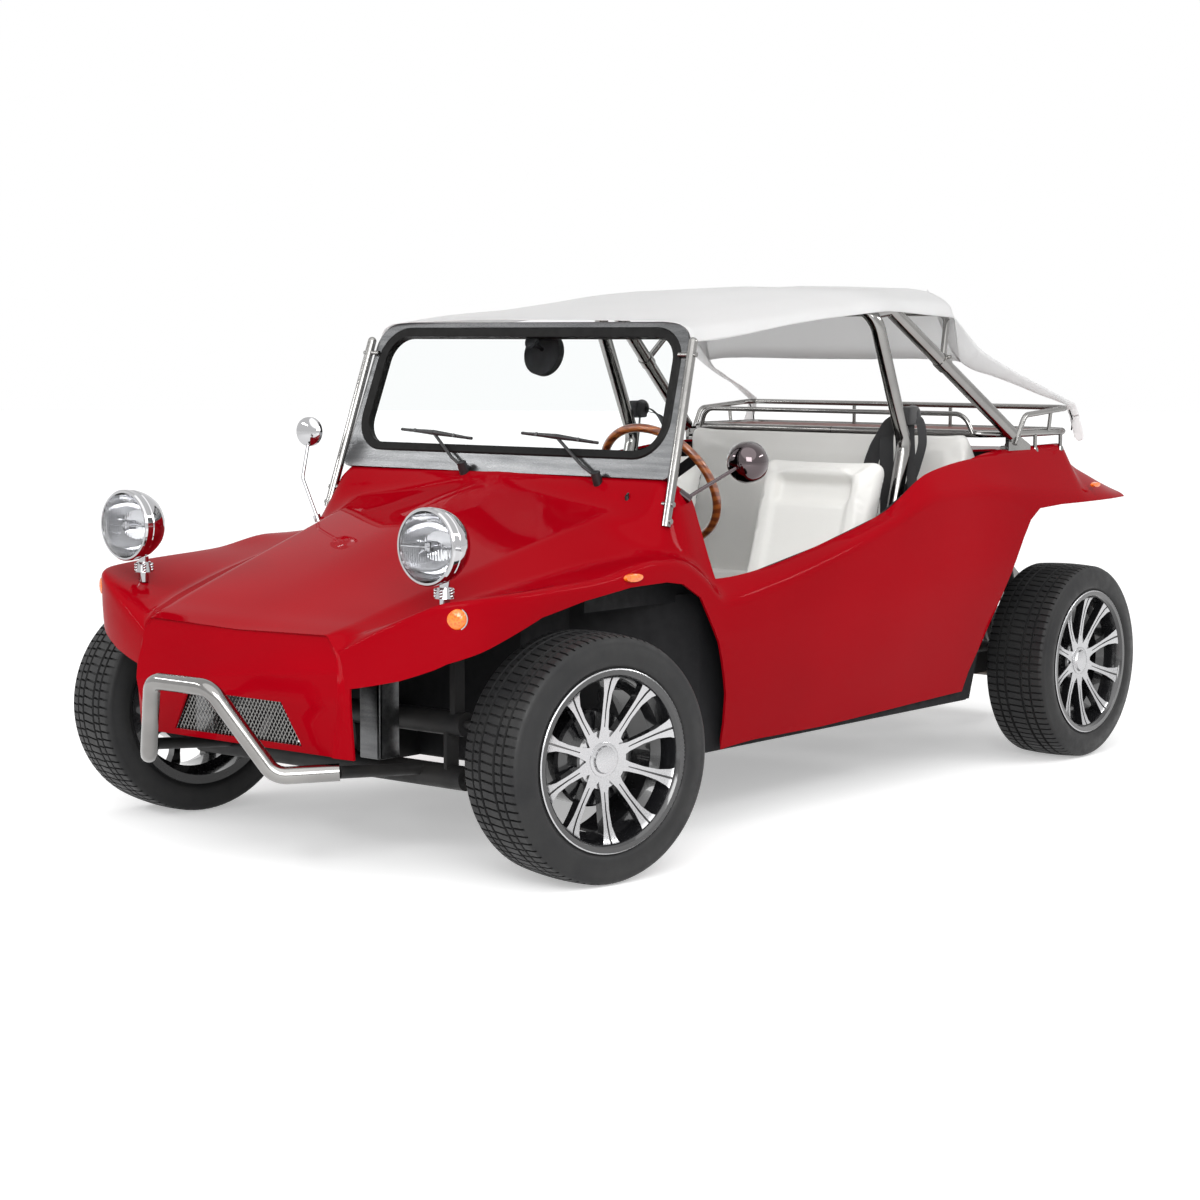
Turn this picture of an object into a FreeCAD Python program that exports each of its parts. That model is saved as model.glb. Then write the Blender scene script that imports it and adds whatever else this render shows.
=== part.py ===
import FreeCAD, Part
import math
import os

os.makedirs("parts", exist_ok=True)

# Dune buggy, 2+2 seats, glass-fibre body on a rear-engined platform chassis.
# Frame: +Z up, the front faces -Y, the car's left is +X, the ground is Z = 0,
# and the origin lies on the ground at the middle of the wheelbase.

# Driving dimensions, in millimetres and degrees
WHEELBASE = 2400.0
FRONT_HALF_TRACK = 734.0
REAR_HALF_TRACK = 669.0
WHEEL_RADIUS = 300.0
TYRE_WIDTH = 216.0
RIM_WIDTH = 190.0
RIM_RADIUS = 203.0
FLANGE_RADIUS = 220.5
STEER_ANGLE = -11.5
KINGPIN_INSET = 84.0
KINGPIN_Y = -1190.0
KINGPIN_RADIUS = 10.0
SKIN = 6.0
SEAT_GAP = 0.3
COWL_Y = -694.0
COWL_HEIGHT = 937.0
CAGE_TUBE = 43.0
RACK_TUBE = 18.0
BUMPER_TUBE = 42.0

REAR_AXLE_Y = WHEELBASE / 2.0

X_AXIS = FreeCAD.Vector(1, 0, 0)
Y_AXIS = FreeCAD.Vector(0, 1, 0)
Z_AXIS = FreeCAD.Vector(0, 0, 1)
ORIGIN = FreeCAD.Vector(0, 0, 0)


def vec(x, y, z):
    return FreeCAD.Vector(x, y, z)


def mirrored(shape):
    """The same shape on the other side of the car."""
    return shape.mirror(ORIGIN, X_AXIS)


def both_sides(shape):
    return Part.makeCompound([shape, mirrored(shape)])


def box(x0, x1, y0, y1, z0, z1):
    return Part.makeBox(x1 - x0, y1 - y0, z1 - z0, vec(x0, y0, z0))


def rod(start, end, radius):
    """A round bar from one point to another."""
    start, end = vec(*start), vec(*end)
    return Part.makeCylinder(radius, (end - start).Length, start, end - start)


def polygon(points):
    corners = [vec(*p) for p in points]
    return Part.makePolygon(corners + [corners[0]])


def prism_yz(outline, x0, x1):
    """A side-view outline of (y, z) points, extruded across the car."""
    face = Part.Face(polygon([(x0, y, z) for y, z in outline]))
    return face.extrude(vec(x1 - x0, 0, 0))


def prism_xy(outline, z0, z1):
    face = Part.Face(polygon([(x, y, z0) for x, y in outline]))
    return face.extrude(vec(0, 0, z1 - z0))


def prism_xz(outline, y0, y1):
    face = Part.Face(polygon([(x, y0, z) for x, z in outline]))
    return face.extrude(vec(0, y1 - y0, 0))


def rounded_path(points, bend):
    """Straight runs joined by tangent arcs of the given bend radius."""
    corners = [vec(*p) for p in points]
    edges = []
    start = corners[0]
    for before, corner, after in zip(corners, corners[1:], corners[2:]):
        into = (before - corner).normalize()
        out = (after - corner).normalize()
        half = into.getAngle(out) / 2.0
        reach = bend / math.tan(half)
        first = corner + into * reach
        last = corner + out * reach
        centre = corner + (into + out).normalize() * (bend / math.sin(half))
        middle = centre + (corner - centre).normalize() * bend
        if (first - start).Length > 0.01:
            edges.append(Part.LineSegment(start, first).toShape())
        edges.append(Part.Arc(first, middle, last).toShape())
        start = last
    edges.append(Part.LineSegment(start, corners[-1]).toShape())
    return Part.Wire(edges)


def tube(points, radius, bend):
    """A bent round bar that follows the points."""
    path = rounded_path(points, bend)
    start = vec(*points[0])
    direction = vec(*points[1]) - start
    profile = Part.Wire(Part.makeCircle(radius, start, direction))
    return path.makePipeShell([profile], True, False)


def biggest(shape):
    """The largest solid of a shape, as a foot keeps only its part outside a wall."""
    return max(shape.Solids, key=lambda solid: solid.Volume)


def write(name, shape):
    solids = shape.Solids
    result = solids[0] if len(solids) == 1 else Part.makeCompound(solids)
    result.exportStep("parts/" + name + ".step")


# Body shell: half sections along the car, each with the same seven corners
# sill, side, crease, edge, shoulder, hood crease and centre, as (x, z)
SHELL_SECTIONS = (
    (-1650, (330, 307), (372, 447), (350, 545), (335, 575), (325, 588), (315, 600), (0, 592)),
    (-1610, (450, 300), (505, 530), (515, 645), (372, 600), (345, 606), (322, 612), (0, 608)),
    (-1560, (560, 290), (612, 556), (616, 692), (398, 612), (362, 618), (328, 625), (0, 625)),
    (-1480, (640, 270), (668, 583), (668, 701), (430, 630), (380, 640), (340, 650), (0, 654)),
    (-1300, (680, 250), (700, 640), (698, 709), (470, 670), (410, 688), (368, 702), (0, 720)),
    (-1100, (680, 235), (706, 650), (700, 719), (510, 706), (450, 735), (398, 758), (0, 793)),
    (-900, (670, 226), (706, 620), (700, 748), (560, 738), (490, 780), (428, 815), (0, 864)),
    (-820, (664, 225), (706, 580), (699, 744), (612, 756), (520, 798), (440, 838), (0, 894)),
    (-760, (658, 225), (706, 550), (697, 730), (632, 750), (580, 850), (452, 862), (0, 915)),
    (-690, (654, 225), (706, 520), (696, 690), (646, 728), (578, 936), (455, 937), (0, 939)),
    (-600, (652, 226), (705, 480), (699, 625), (652, 672), (575, 900), (450, 915), (0, 925)),
    (-400, (650, 229), (703, 450), (700, 650), (652, 692), (600, 700), (450, 700), (0, 700)),
    (-100, (650, 235), (701, 450), (700, 712), (650, 742), (600, 750), (450, 750), (0, 750)),
    (200, (650, 243), (700, 470), (698, 790), (648, 808), (600, 820), (450, 820), (0, 820)),
    (450, (650, 250), (697, 520), (694, 850), (642, 915), (600, 930), (450, 930), (0, 930)),
    (700, (650, 256), (694, 560), (688, 853), (632, 948), (590, 952), (450, 950), (0, 945)),
    (1000, (650, 262), (696, 700), (688, 830), (618, 964), (560, 962), (450, 955), (0, 950)),
    (1290, (650, 270), (690, 770), (682, 812), (604, 972), (545, 965), (440, 955), (0, 950)),
    (1330, (650, 270), (688, 772), (680, 808), (598, 925), (540, 918), (440, 908), (0, 905)),
    (1500, (640, 270), (672, 775), (664, 800), (590, 862), (530, 858), (430, 850), (0, 848)),
    (1650, (620, 270), (645, 772), (636, 796), (575, 818), (515, 815), (420, 808), (0, 805)),
)
NOSE_Y = SHELL_SECTIONS[0][0]


def inset(points, distance):
    """The line of points moved sideways by a wall, with mitred corners."""
    moved = []
    count = len(points)
    for index, point in enumerate(points):
        normals = []
        for low, high in ((index - 1, index), (index, index + 1)):
            if low >= 0 and high < count:
                dx = points[high][0] - points[low][0]
                dz = points[high][1] - points[low][1]
                length = math.hypot(dx, dz)
                normals.append((dz / length, -dx / length))
        nx = sum(n[0] for n in normals) / len(normals)
        nz = sum(n[1] for n in normals) / len(normals)
        scale = distance / (nx * nx + nz * nz)
        moved.append((point[0] + nx * scale, point[1] + nz * scale))
    return moved


def skin_wire(station, wall):
    """A closed thin section: the outer line across the car and back inside it."""
    y, corners = station[0], station[1:]
    outer = [(-x, z) for x, z in corners[:-1]] + list(reversed(corners))
    inner = inset(outer, wall)
    inner[0] = (inner[0][0], outer[0][1])
    inner[-1] = (inner[-1][0], outer[-1][1])
    return polygon([(x, y, z) for x, z in outer + inner[::-1]])


FRONT_ARCH = (
    (NOSE_Y - 40, 447), (NOSE_Y + 40, 500), (-1560, 545), (-1462, 585), (-1330, 640), (-1180, 668),
    (-1000, 688), (-860, 690), (-790, 680), (-715, 640), (-640, 521), (-585, 380), (-570, 300),
    (-563, 200), (NOSE_Y - 40, 200),
)
REAR_ARCH = (
    (625, 200), (641, 265), (660, 313), (760, 470), (853, 600), (915, 700), (955, 750), (1011, 782),
    (1146, 788), (1700, 788), (1700, 200),
)
COCKPIT = (
    (-560, -630), (-570, -600), (-652, -590), (-652, -400), (-650, -100), (-648, 200), (-642, 450),
    (-632, 700), (-600, 900), (-560, 960),
)
NOSE_LINES = ((307.0, 319.0, -1655.0), (442.0, 372.0, -1668.0), (598.0, 318.0, -1650.0))
GRILLE_TOP = (165.0, 428.0)
GRILLE_BOTTOM = (226.0, 326.0)


def nose_plate():
    """Flat nose with a crease across it and the grille opening."""
    bands = []
    for (z0, half0, y0), (z1, half1, y1) in zip(NOSE_LINES, NOSE_LINES[1:]):
        wires = []
        for z, half, y in ((z0, half0, y0), (z1, half1, y1)):
            wires.append(polygon(((-half, y, z), (half, y, z), (half, y + SKIN, z), (-half, y + SKIN, z))))
        bands.append(Part.makeLoft(wires, True, True))
    plate = bands[0].fuse(bands[1])
    opening = prism_xz((
        (-GRILLE_BOTTOM[0], GRILLE_BOTTOM[1]), (GRILLE_BOTTOM[0], GRILLE_BOTTOM[1]),
        (GRILLE_TOP[0], GRILLE_TOP[1]), (-GRILLE_TOP[0], GRILLE_TOP[1]),
    ), NOSE_Y - 60, NOSE_Y + 60)
    return plate.cut(opening)


def body_shell():
    """One-piece body: a thin loft from nose to tail, cut for the wheels and the cockpit."""
    wires = [skin_wire(station, SKIN) for station in SHELL_SECTIONS]
    shell = Part.makeLoft(wires, True, True)
    for arch in (FRONT_ARCH, REAR_ARCH):
        left = prism_yz(arch, 376.0, 900.0)
        shell = shell.cut(left).cut(mirrored(left))
    outline = list(COCKPIT) + [(-x, y) for x, y in reversed(COCKPIT)]
    shell = shell.cut(prism_xy(outline, 150.0, 1200.0))
    shell = shell.cut(box(-900, 900, NOSE_Y + 30, -560, 150, 440))
    return shell.fuse(nose_plate())



SHELL = body_shell()


def seated(piece, base):
    """A piece trimmed to the face of what carries it."""
    return biggest(piece.cut(base))


# Inner cockpit: side walls, rear bulkhead, toe board
WALL_X = 628.0
WALL_FRONT = -640.0
BULKHEAD_Y = 950.0
WALL_TOP = (
    (WALL_FRONT, 640), (-600, 660), (-400, 680), (-100, 730), (200, 796), (450, 905), (700, 936),
    (BULKHEAD_Y, 940),
)
TOE_BOARD_Y = -1000.0
FLOOR_TOP = 225.0
PAN_REAR = 700.0


TOE_FRONT = -1090.0
TOE_HALF = 420.0
TOE_TOP = 640.0
TOE_PLAN = (
    (0, TOE_FRONT), (TOE_HALF, TOE_FRONT), (TOE_HALF, -900), (560, -760), (WALL_X + SKIN, WALL_FRONT),
)


def toe_board():
    """Front bulkhead that passes behind the front wheels, and the sloping toe plate."""
    back = [(x - SKIN if x > 0 else x, y + SKIN) for x, y in TOE_PLAN]
    wall = prism_xy(list(TOE_PLAN) + back[::-1], FLOOR_TOP, TOE_TOP)
    top_y = TOE_BOARD_Y - 84
    slope = prism_yz((
        (top_y, 420), (TOE_BOARD_Y, FLOOR_TOP), (TOE_BOARD_Y + 8, FLOOR_TOP), (top_y, 436),
    ), 0, TOE_HALF - SKIN)
    board = wall.fuse(slope)
    return board.fuse(mirrored(board))


def cockpit_tub():
    low, knee, high = (PAN_REAR, FLOOR_TOP), (760, 400), (BULKHEAD_Y, 640)
    outline = list(WALL_TOP) + [high, knee, low, (WALL_FRONT, FLOOR_TOP)]
    wall = prism_yz(outline, WALL_X, WALL_X + SKIN)
    back = prism_yz((
        (BULKHEAD_Y, 940), high, knee, low, (low[0] + SKIN, low[1]), (knee[0] + SKIN, knee[1] - 2),
        (high[0] + SKIN, high[1] - 2), (BULKHEAD_Y + SKIN, 940),
    ), -WALL_X - SKIN, WALL_X + SKIN)
    tub = toe_board().multiFuse([wall, mirrored(wall), back])
    return biggest(tub.cut(SHELL))


TUB = cockpit_tub()

# Floor pan with tunnel and side rails
PAN_HALF = 600.0
PAN_SHEET = 4.0
RAIL = 36.0
TUNNEL_HALF = 75.0
TUNNEL_TOP = 345.0


def floor_pan():
    half = (
        (0, TOE_FRONT), (TOE_HALF, TOE_FRONT), (TOE_HALF, -900), (PAN_HALF, -720), (PAN_HALF, PAN_REAR),
        (0, PAN_REAR),
    )
    pan = prism_xy(half, FLOOR_TOP - PAN_SHEET, FLOOR_TOP)
    pan = pan.fuse(mirrored(pan))
    tunnel = prism_xz((
        (-TUNNEL_HALF, FLOOR_TOP - PAN_SHEET), (TUNNEL_HALF, FLOOR_TOP - PAN_SHEET),
        (TUNNEL_HALF - 12, TUNNEL_TOP - 20), (TUNNEL_HALF - 32, TUNNEL_TOP),
        (-TUNNEL_HALF + 32, TUNNEL_TOP), (-TUNNEL_HALF + 12, TUNNEL_TOP - 20),
    ), BEAM_Y + BEAM_RADIUS + SEAT_GAP, PAN_REAR)
    rail = box(PAN_HALF - RAIL, PAN_HALF, -700, PAN_REAR, FLOOR_TOP - RAIL, FLOOR_TOP - PAN_SHEET)
    pan = pan.fuse(tunnel).fuse(rail).fuse(mirrored(rail))
    for y in (-480, 60, 600):
        bracket = box(PAN_HALF - 1, 700, y, y + 60, FLOOR_TOP - 20, FLOOR_TOP + 60)
        bracket = min(bracket.cut(SHELL).Solids, key=lambda solid: solid.CenterOfMass.x)
        pan = pan.fuse(bracket).fuse(mirrored(bracket))
    return biggest(pan.cut(TUB))


# Front axle: two beam tubes with trailing arms to fixed kingpin eyes
BEAM_Y = -1345.0
BEAM_RADIUS = 30.0
BEAM_HALF = 470.0
BEAM_LEVELS = (WHEEL_RADIUS - 66.0, WHEEL_RADIUS + 66.0)
KINGPIN_X = FRONT_HALF_TRACK - KINGPIN_INSET
EYE_RADIUS = 24.0
EYE_HEIGHT = 24.0
ARM_RADIUS = 11.0
ARM_X = BEAM_HALF + 18.0
BUMPER_END = (335.0, -1640.0, 274.0)


def front_axle():
    """Beam tubes, trailing arms, kingpin eyes, shock towers and the bumper's brackets."""
    parts = []
    for level in BEAM_LEVELS:
        parts.append(rod((-BEAM_HALF, BEAM_Y, level), (BEAM_HALF, BEAM_Y, level), BEAM_RADIUS))
    mid = (BEAM_LEVELS[0] + BEAM_LEVELS[1]) / 2.0
    for side in (-1, 1):
        for level in BEAM_LEVELS:
            route = ((side * (BEAM_HALF - 20), BEAM_Y, level), (side * ARM_X, BEAM_Y, level),
                     (side * ARM_X, KINGPIN_Y, level), (side * KINGPIN_X, KINGPIN_Y, level))
            parts.append(tube(route, ARM_RADIUS, 16.0))
            low = (side * KINGPIN_X, KINGPIN_Y, level - EYE_HEIGHT / 2.0)
            high = (side * KINGPIN_X, KINGPIN_Y, level + EYE_HEIGHT / 2.0)
            parts.append(rod(low, high, EYE_RADIUS))
        for x in (140.0, 420.0):
            parts.append(box(side * x - 5, side * x + 5, BEAM_Y - 22, BEAM_Y + 22, mid - 50, mid + 50))
        parts.append(box(side * 440 - 8, side * 440 + 8, BEAM_Y - 18, BEAM_Y + 18, BEAM_LEVELS[1], 560))
        start = (side * BUMPER_END[0], BEAM_Y, BEAM_LEVELS[0] + 12)
        end = (side * BUMPER_END[0], BUMPER_END[1] - 6, BUMPER_END[2])
        parts.append(rod(start, end, 15.0))
        low = (side * KINGPIN_X, KINGPIN_Y, BEAM_LEVELS[0])
        high = (side * KINGPIN_X, KINGPIN_Y, BEAM_LEVELS[1])
        parts.append(rod(low, high, KINGPIN_RADIUS))
    axle = parts[0].multiFuse(parts[1:])
    return biggest(axle.cut(bumper_bar()))


# Wheels, modelled about +X pointing outwards, with the centre at the origin
HUB_FACE = 34.0
SPINDLE_RADIUS = 17.0
DRUM_RADIUS = 118.0
SPOKES = 10
RIM_FACE = RIM_WIDTH / 2.0


def revolved(profile):
    """A solid turned about the X axis from (x, radius) points."""
    face = Part.Face(polygon([(x, 0, r) for x, r in profile]))
    return face.revolve(ORIGIN, X_AXIS, 360)


def tyre():
    half = TYRE_WIDTH / 2.0
    r = WHEEL_RADIUS
    bead = RIM_RADIUS + SEAT_GAP
    right = [
        (RIM_FACE, bead), (RIM_FACE, FLANGE_RADIUS + 3), (half, r - 50), (half - 8, r - 14), (half - 28, r),
    ]
    outer = right + [(-x, z) for x, z in reversed(right)]
    inner = [(-RIM_FACE + 12, bead), (-half + 22, r - 16), (half - 22, r - 16), (RIM_FACE - 12, bead)]
    return revolved(outer + inner)


def spoke_plan():
    """Outline of one spoke in the wheel plane, flared at the hub and at the rim, as (y, z)."""
    right = [(19, 40), (11, 78), (9.5, 120), (12, 160), (21, 190), (24, RIM_RADIUS - 3)]
    return right + [(-y, z) for y, z in reversed(right)]


def rim():
    flange = RIM_FACE + 0.3
    barrel = revolved([
        (-flange - 8, FLANGE_RADIUS), (-flange, FLANGE_RADIUS), (-flange, RIM_RADIUS), (-55, RIM_RADIUS),
        (-40, RIM_RADIUS - 18), (20, RIM_RADIUS - 18), (40, RIM_RADIUS), (flange, RIM_RADIUS),
        (flange, FLANGE_RADIUS), (flange + 8, FLANGE_RADIUS), (flange + 8, RIM_RADIUS - 3), (44, RIM_RADIUS - 9),
        (24, RIM_RADIUS - 25), (-44, RIM_RADIUS - 25), (-60, RIM_RADIUS - 8), (-flange - 8, RIM_RADIUS - 6),
    ])
    band = revolved([
        (HUB_FACE, 38), (HUB_FACE + 30, 38), (HUB_FACE + 32, 78), (HUB_FACE + 42, 150), (RIM_FACE - 4, RIM_RADIUS - 4),
        (RIM_FACE - 34, RIM_RADIUS - 4), (HUB_FACE + 18, 150), (HUB_FACE + 6, 78), (HUB_FACE, 70),
    ])
    plan = Part.Face(polygon([(0, y, z) for y, z in spoke_plan()])).extrude(vec(140, 0, 0))
    groove = box(RIM_FACE - 60, 140, -1.6, 1.6, 74, RIM_RADIUS)
    spoke = plan.common(band)
    floor = revolved([(0, 60), (HUB_FACE + 27, 60), (HUB_FACE + 37, 150), (RIM_FACE - 9, RIM_RADIUS + 1), (0, RIM_RADIUS + 1)])
    spoke = spoke.cut(groove.cut(floor))
    wheel = barrel
    for index in range(SPOKES):
        wheel = wheel.fuse(turned_about_x(spoke, index * 360.0 / SPOKES))
    hub = revolved([(HUB_FACE, SPINDLE_RADIUS + SEAT_GAP), (HUB_FACE + 28, SPINDLE_RADIUS + SEAT_GAP),
                    (HUB_FACE + 28, 0), (HUB_FACE + 40, 0), (HUB_FACE + 38, 28), (HUB_FACE + 31, 32), (HUB_FACE + 30, 66),
                    (HUB_FACE, 72)])
    drum = revolved([(-40, DRUM_RADIUS - 12), (-40, DRUM_RADIUS), (HUB_FACE, DRUM_RADIUS), (HUB_FACE, SPINDLE_RADIUS + SEAT_GAP),
                     (HUB_FACE - 12, SPINDLE_RADIUS + SEAT_GAP), (HUB_FACE - 12, DRUM_RADIUS - 12)])
    return wheel.fuse(hub).fuse(drum)


def turned_about_x(shape, angle):
    copy = shape.copy()
    copy.rotate(ORIGIN, X_AXIS, angle)
    return copy


def placed_wheel(shape, side, centre, angle):
    """A wheel part set at its centre; the left one faces +X, the right one -X."""
    copy = shape.copy()
    if side < 0:
        copy.rotate(ORIGIN, Z_AXIS, 180)
    copy.rotate(ORIGIN, Z_AXIS, angle)
    copy.translate(vec(*centre))
    return copy


def front_centre(side):
    swing = math.radians(STEER_ANGLE)
    return (
        side * (KINGPIN_X + KINGPIN_INSET * math.cos(swing)),
        KINGPIN_Y + side * KINGPIN_INSET * math.sin(swing),
        WHEEL_RADIUS,
    )


def knuckle(side):
    """Steering knuckle about the kingpin: sleeve, spindle and backing plate."""
    low = BEAM_LEVELS[0] - WHEEL_RADIUS + EYE_HEIGHT / 2.0 + SEAT_GAP
    high = -low
    body = rod((0, 0, low), (0, 0, high), EYE_RADIUS - 2)
    body = body.fuse(rod((12, 0, 0), (KINGPIN_INSET + HUB_FACE + 24, 0, 0), SPINDLE_RADIUS))
    plate_x = KINGPIN_INSET - 46.0 - 6.0
    body = body.fuse(rod((10, 0, 0), (plate_x + 2, 0, 0), 34.0).common(box(10, 60, -40, 40, low + 6, high - 6)))
    body = body.fuse(rod((plate_x, 0, 0), (plate_x + 5, 0, 0), DRUM_RADIUS - 2))
    body = body.cut(rod((0, 0, low - 5), (0, 0, high + 5), KINGPIN_RADIUS + SEAT_GAP))
    return placed_wheel(body, side, (side * KINGPIN_X, KINGPIN_Y, WHEEL_RADIUS), STEER_ANGLE)


def rounded_face(corners, radii):
    """A flat face whose corners are rounded by the given radii."""
    points = [vec(*c) for c in corners]
    count = len(points)
    edges = []
    arcs = []
    for index in range(count):
        before, corner, after = points[index - 1], points[index], points[(index + 1) % count]
        into = (before - corner).normalize()
        out = (after - corner).normalize()
        half = into.getAngle(out) / 2.0
        radius = radii[index]
        reach = radius / math.tan(half)
        centre = corner + (into + out).normalize() * (radius / math.sin(half))
        middle = centre + (corner - centre).normalize() * radius
        arcs.append((corner + into * reach, middle, corner + out * reach))
    for index in range(count):
        first, middle, last = arcs[index]
        edges.append(Part.Arc(first, middle, last).toShape())
        edges.append(Part.LineSegment(last, arcs[(index + 1) % count][0]).toShape())
    return Part.Face(Part.Wire(edges))


# Windscreen, laid out in its own raked plane: x across, s up the slope, n outwards
RAKE = 19.3
SCREEN_BASE = vec(0, COWL_Y, COWL_HEIGHT)
SCREEN_UP = vec(0, math.sin(math.radians(RAKE)), math.cos(math.radians(RAKE)))
SCREEN_OUT = vec(0, -math.cos(math.radians(RAKE)), math.sin(math.radians(RAKE)))
FRAME_BOTTOM_HALF = 582.0
FRAME_TOP_HALF = 556.0
FRAME_TOP = 421.0
FRAME_SIDE = 28.0
FRAME_SILL = 50.0
FRAME_HEADER = 23.0
SEAL_WIDTH = 14.0
GLASS_CORNER = 95.0


def screen_point(x, s, n):
    return SCREEN_BASE + vec(x, 0, 0) + SCREEN_UP * s + SCREEN_OUT * n


def screen_plate(inset_by, bottom, top, corner, n0, n1):
    """A plate parallel to the glass, with rounded corners."""
    def half(s):
        share = s / FRAME_TOP
        return FRAME_BOTTOM_HALF + (FRAME_TOP_HALF - FRAME_BOTTOM_HALF) * share - inset_by
    outline = [(-half(bottom), bottom), (half(bottom), bottom), (half(top), top), (-half(top), top)]
    corners = [tuple(screen_point(x, s, n0)) for x, s in outline]
    face = rounded_face(corners, corner)
    return face.extrude(SCREEN_OUT * (n1 - n0))


def windscreen_parts():
    opening = (FRAME_SIDE, FRAME_SILL, FRAME_TOP - FRAME_HEADER)
    outer = screen_plate(0.0, -6.0, FRAME_TOP, (15, 15, 80, 80), -20.0, 10.0)
    hole = screen_plate(opening[0], opening[1], opening[2], [GLASS_CORNER] * 4, -40.0, 40.0)
    frame = seated(outer.cut(hole), SHELL)
    lip = [GLASS_CORNER - SEAL_WIDTH] * 4
    seal = screen_plate(opening[0], opening[1], opening[2], [GLASS_CORNER] * 4, -12.0, 6.0)
    pane = (opening[0] + SEAL_WIDTH, opening[1] + SEAL_WIDTH, opening[2] - SEAL_WIDTH)
    seal = seal.cut(screen_plate(pane[0], pane[1], pane[2], lip, -40.0, 40.0))
    glass = screen_plate(pane[0], pane[1], pane[2], lip, -6.0, -1.0)
    return frame, seal, glass


FRAME, SEAL, GLASS = windscreen_parts()

STAY_RADIUS = 12.5
STAY_TOP = (FRAME_TOP_HALF + STAY_RADIUS + 10.0, -592.0, 1285.0)
STAY_FOOT = (606.0, -742.0, 817.0)


def windscreen_stays():
    stay = rod(STAY_FOOT, STAY_TOP, STAY_RADIUS)
    stay = stay.fuse(rod((FRAME_TOP_HALF - 10.0, STAY_TOP[1] + 10, STAY_TOP[2] - 30), (STAY_TOP[0] + 3, STAY_TOP[1] - 8, STAY_TOP[2] - 30), 7.0))
    stay = biggest(stay.cut(FRAME).cut(SHELL))
    return both_sides(stay)


# Lamps
LAMP_CENTRE = (532.0, -1548.0, 811.0)
LAMP_RADIUS = 92.0
LENS_RADIUS = 84.0
LAMP_DEPTH = 112.0
INDICATOR_CENTRE = (617.0, -1538.0, 649.0)


def about_lamp(profile, centre):
    """A solid turned about the lamp's own axis from (depth, radius) points; depth grows rearwards."""
    x, y, z = centre
    face = Part.Face(polygon([(x + r, y + depth, z) for depth, r in profile]))
    return face.revolve(vec(x, y, z), Y_AXIS, 360)


def headlamp():
    bowl = about_lamp([
        (-6, LENS_RADIUS), (-6, LAMP_RADIUS), (14, LAMP_RADIUS), (16, LAMP_RADIUS - 3), (50, LAMP_RADIUS - 8),
        (80, 66), (102, 38), (LAMP_DEPTH, 0), (LAMP_DEPTH - 4, 0), (98, 36), (76, 62), (48, LENS_RADIUS - 5),
        (12, LENS_RADIUS - 2), (12, LENS_RADIUS),
    ], LAMP_CENTRE)
    x, y, z = LAMP_CENTRE
    stem = rod((x, y + 46, z - LAMP_RADIUS + 10), (x, y + 60, z - LAMP_RADIUS - 60), 14.0)
    foot = rod((x, y + 60, z - LAMP_RADIUS - 30), (x, y + 60, z - LAMP_RADIUS - 8), 24.0)
    carrier = stem.fuse(foot).cut(about_lamp([(-6, 0), (-6, LAMP_RADIUS - 4), (50, LAMP_RADIUS - 9), (78, 64), (100, 36), (110, 0)], LAMP_CENTRE))
    carrier = biggest(carrier)
    return biggest(bowl.fuse(carrier).cut(SHELL))


def headlamp_lens():
    return about_lamp([
        (-22, 0), (-20, 40), (-12, 70), (-4, LENS_RADIUS - SEAT_GAP), (6, LENS_RADIUS - SEAT_GAP), (2, 68),
        (-6, 38), (-8, 0),
    ], LAMP_CENTRE)


def round_lamp(centre, direction, radius, depth):
    """A small round lamp seated on the body, with a domed face."""
    start = vec(*centre)
    heading = vec(*direction).normalize()
    base = Part.makeCylinder(radius, depth + 30, start - heading * 30, heading)
    dome = Part.makeCylinder(radius - 4, 7, start + heading * depth, heading)
    return biggest(base.fuse(dome).cut(SHELL))


def outer_part(shape):
    """Of the pieces that a cut leaves, the one furthest outboard."""
    return max(shape.Solids, key=lambda solid: abs(solid.CenterOfMass.x))


def marker_lamps():
    """Front indicators and the small side markers on the front and rear mudguards."""
    lamp = round_lamp(INDICATOR_CENTRE, (0.5, -0.866, 0), 27.0, 14.0)
    front = outer_part(box(690, 716, -1032, -962, 700, 722).cut(SHELL))
    rear = outer_part(box(660, 700, 1360, 1420, 830, 848).cut(SHELL))
    return both_sides(Part.makeCompound([lamp, front, rear]))


def tail_lamps():
    lamps = []
    for x in (455.0, 560.0):
        lamp = rod((x, 1500, 900), (x, 1575, 900), 40.0).fuse(rod((x, 1520, 900), (x, 1520, 820), 22.0))
        lamp = max(lamp.cut(SHELL).Solids, key=lambda solid: solid.CenterOfMass.z)
        lamps += [lamp, mirrored(lamp)]
    return Part.makeCompound(lamps)


# Mirrors
def door_mirrors():
    left = rod((590, -632, 885), (655, -470, 965), 5.0)
    left = left.fuse(rod((655, -500, 972), (655, -430, 972), 44.0))
    left = left.fuse(rod((575, -655, 905), (596, -628, 880), 12.0))
    left = outer_part(left.cut(SHELL))
    right = tube(((-600, -790, 780), (-640, -810, 900), (-640, -785, 1000)), 5.0, 30.0)
    right = right.fuse(rod((-640, -800, 1030), (-640, -770, 1030), 42.0))
    right = max(right.cut(SHELL).Solids, key=lambda solid: solid.CenterOfMass.z)
    return Part.makeCompound([left, right])


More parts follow.
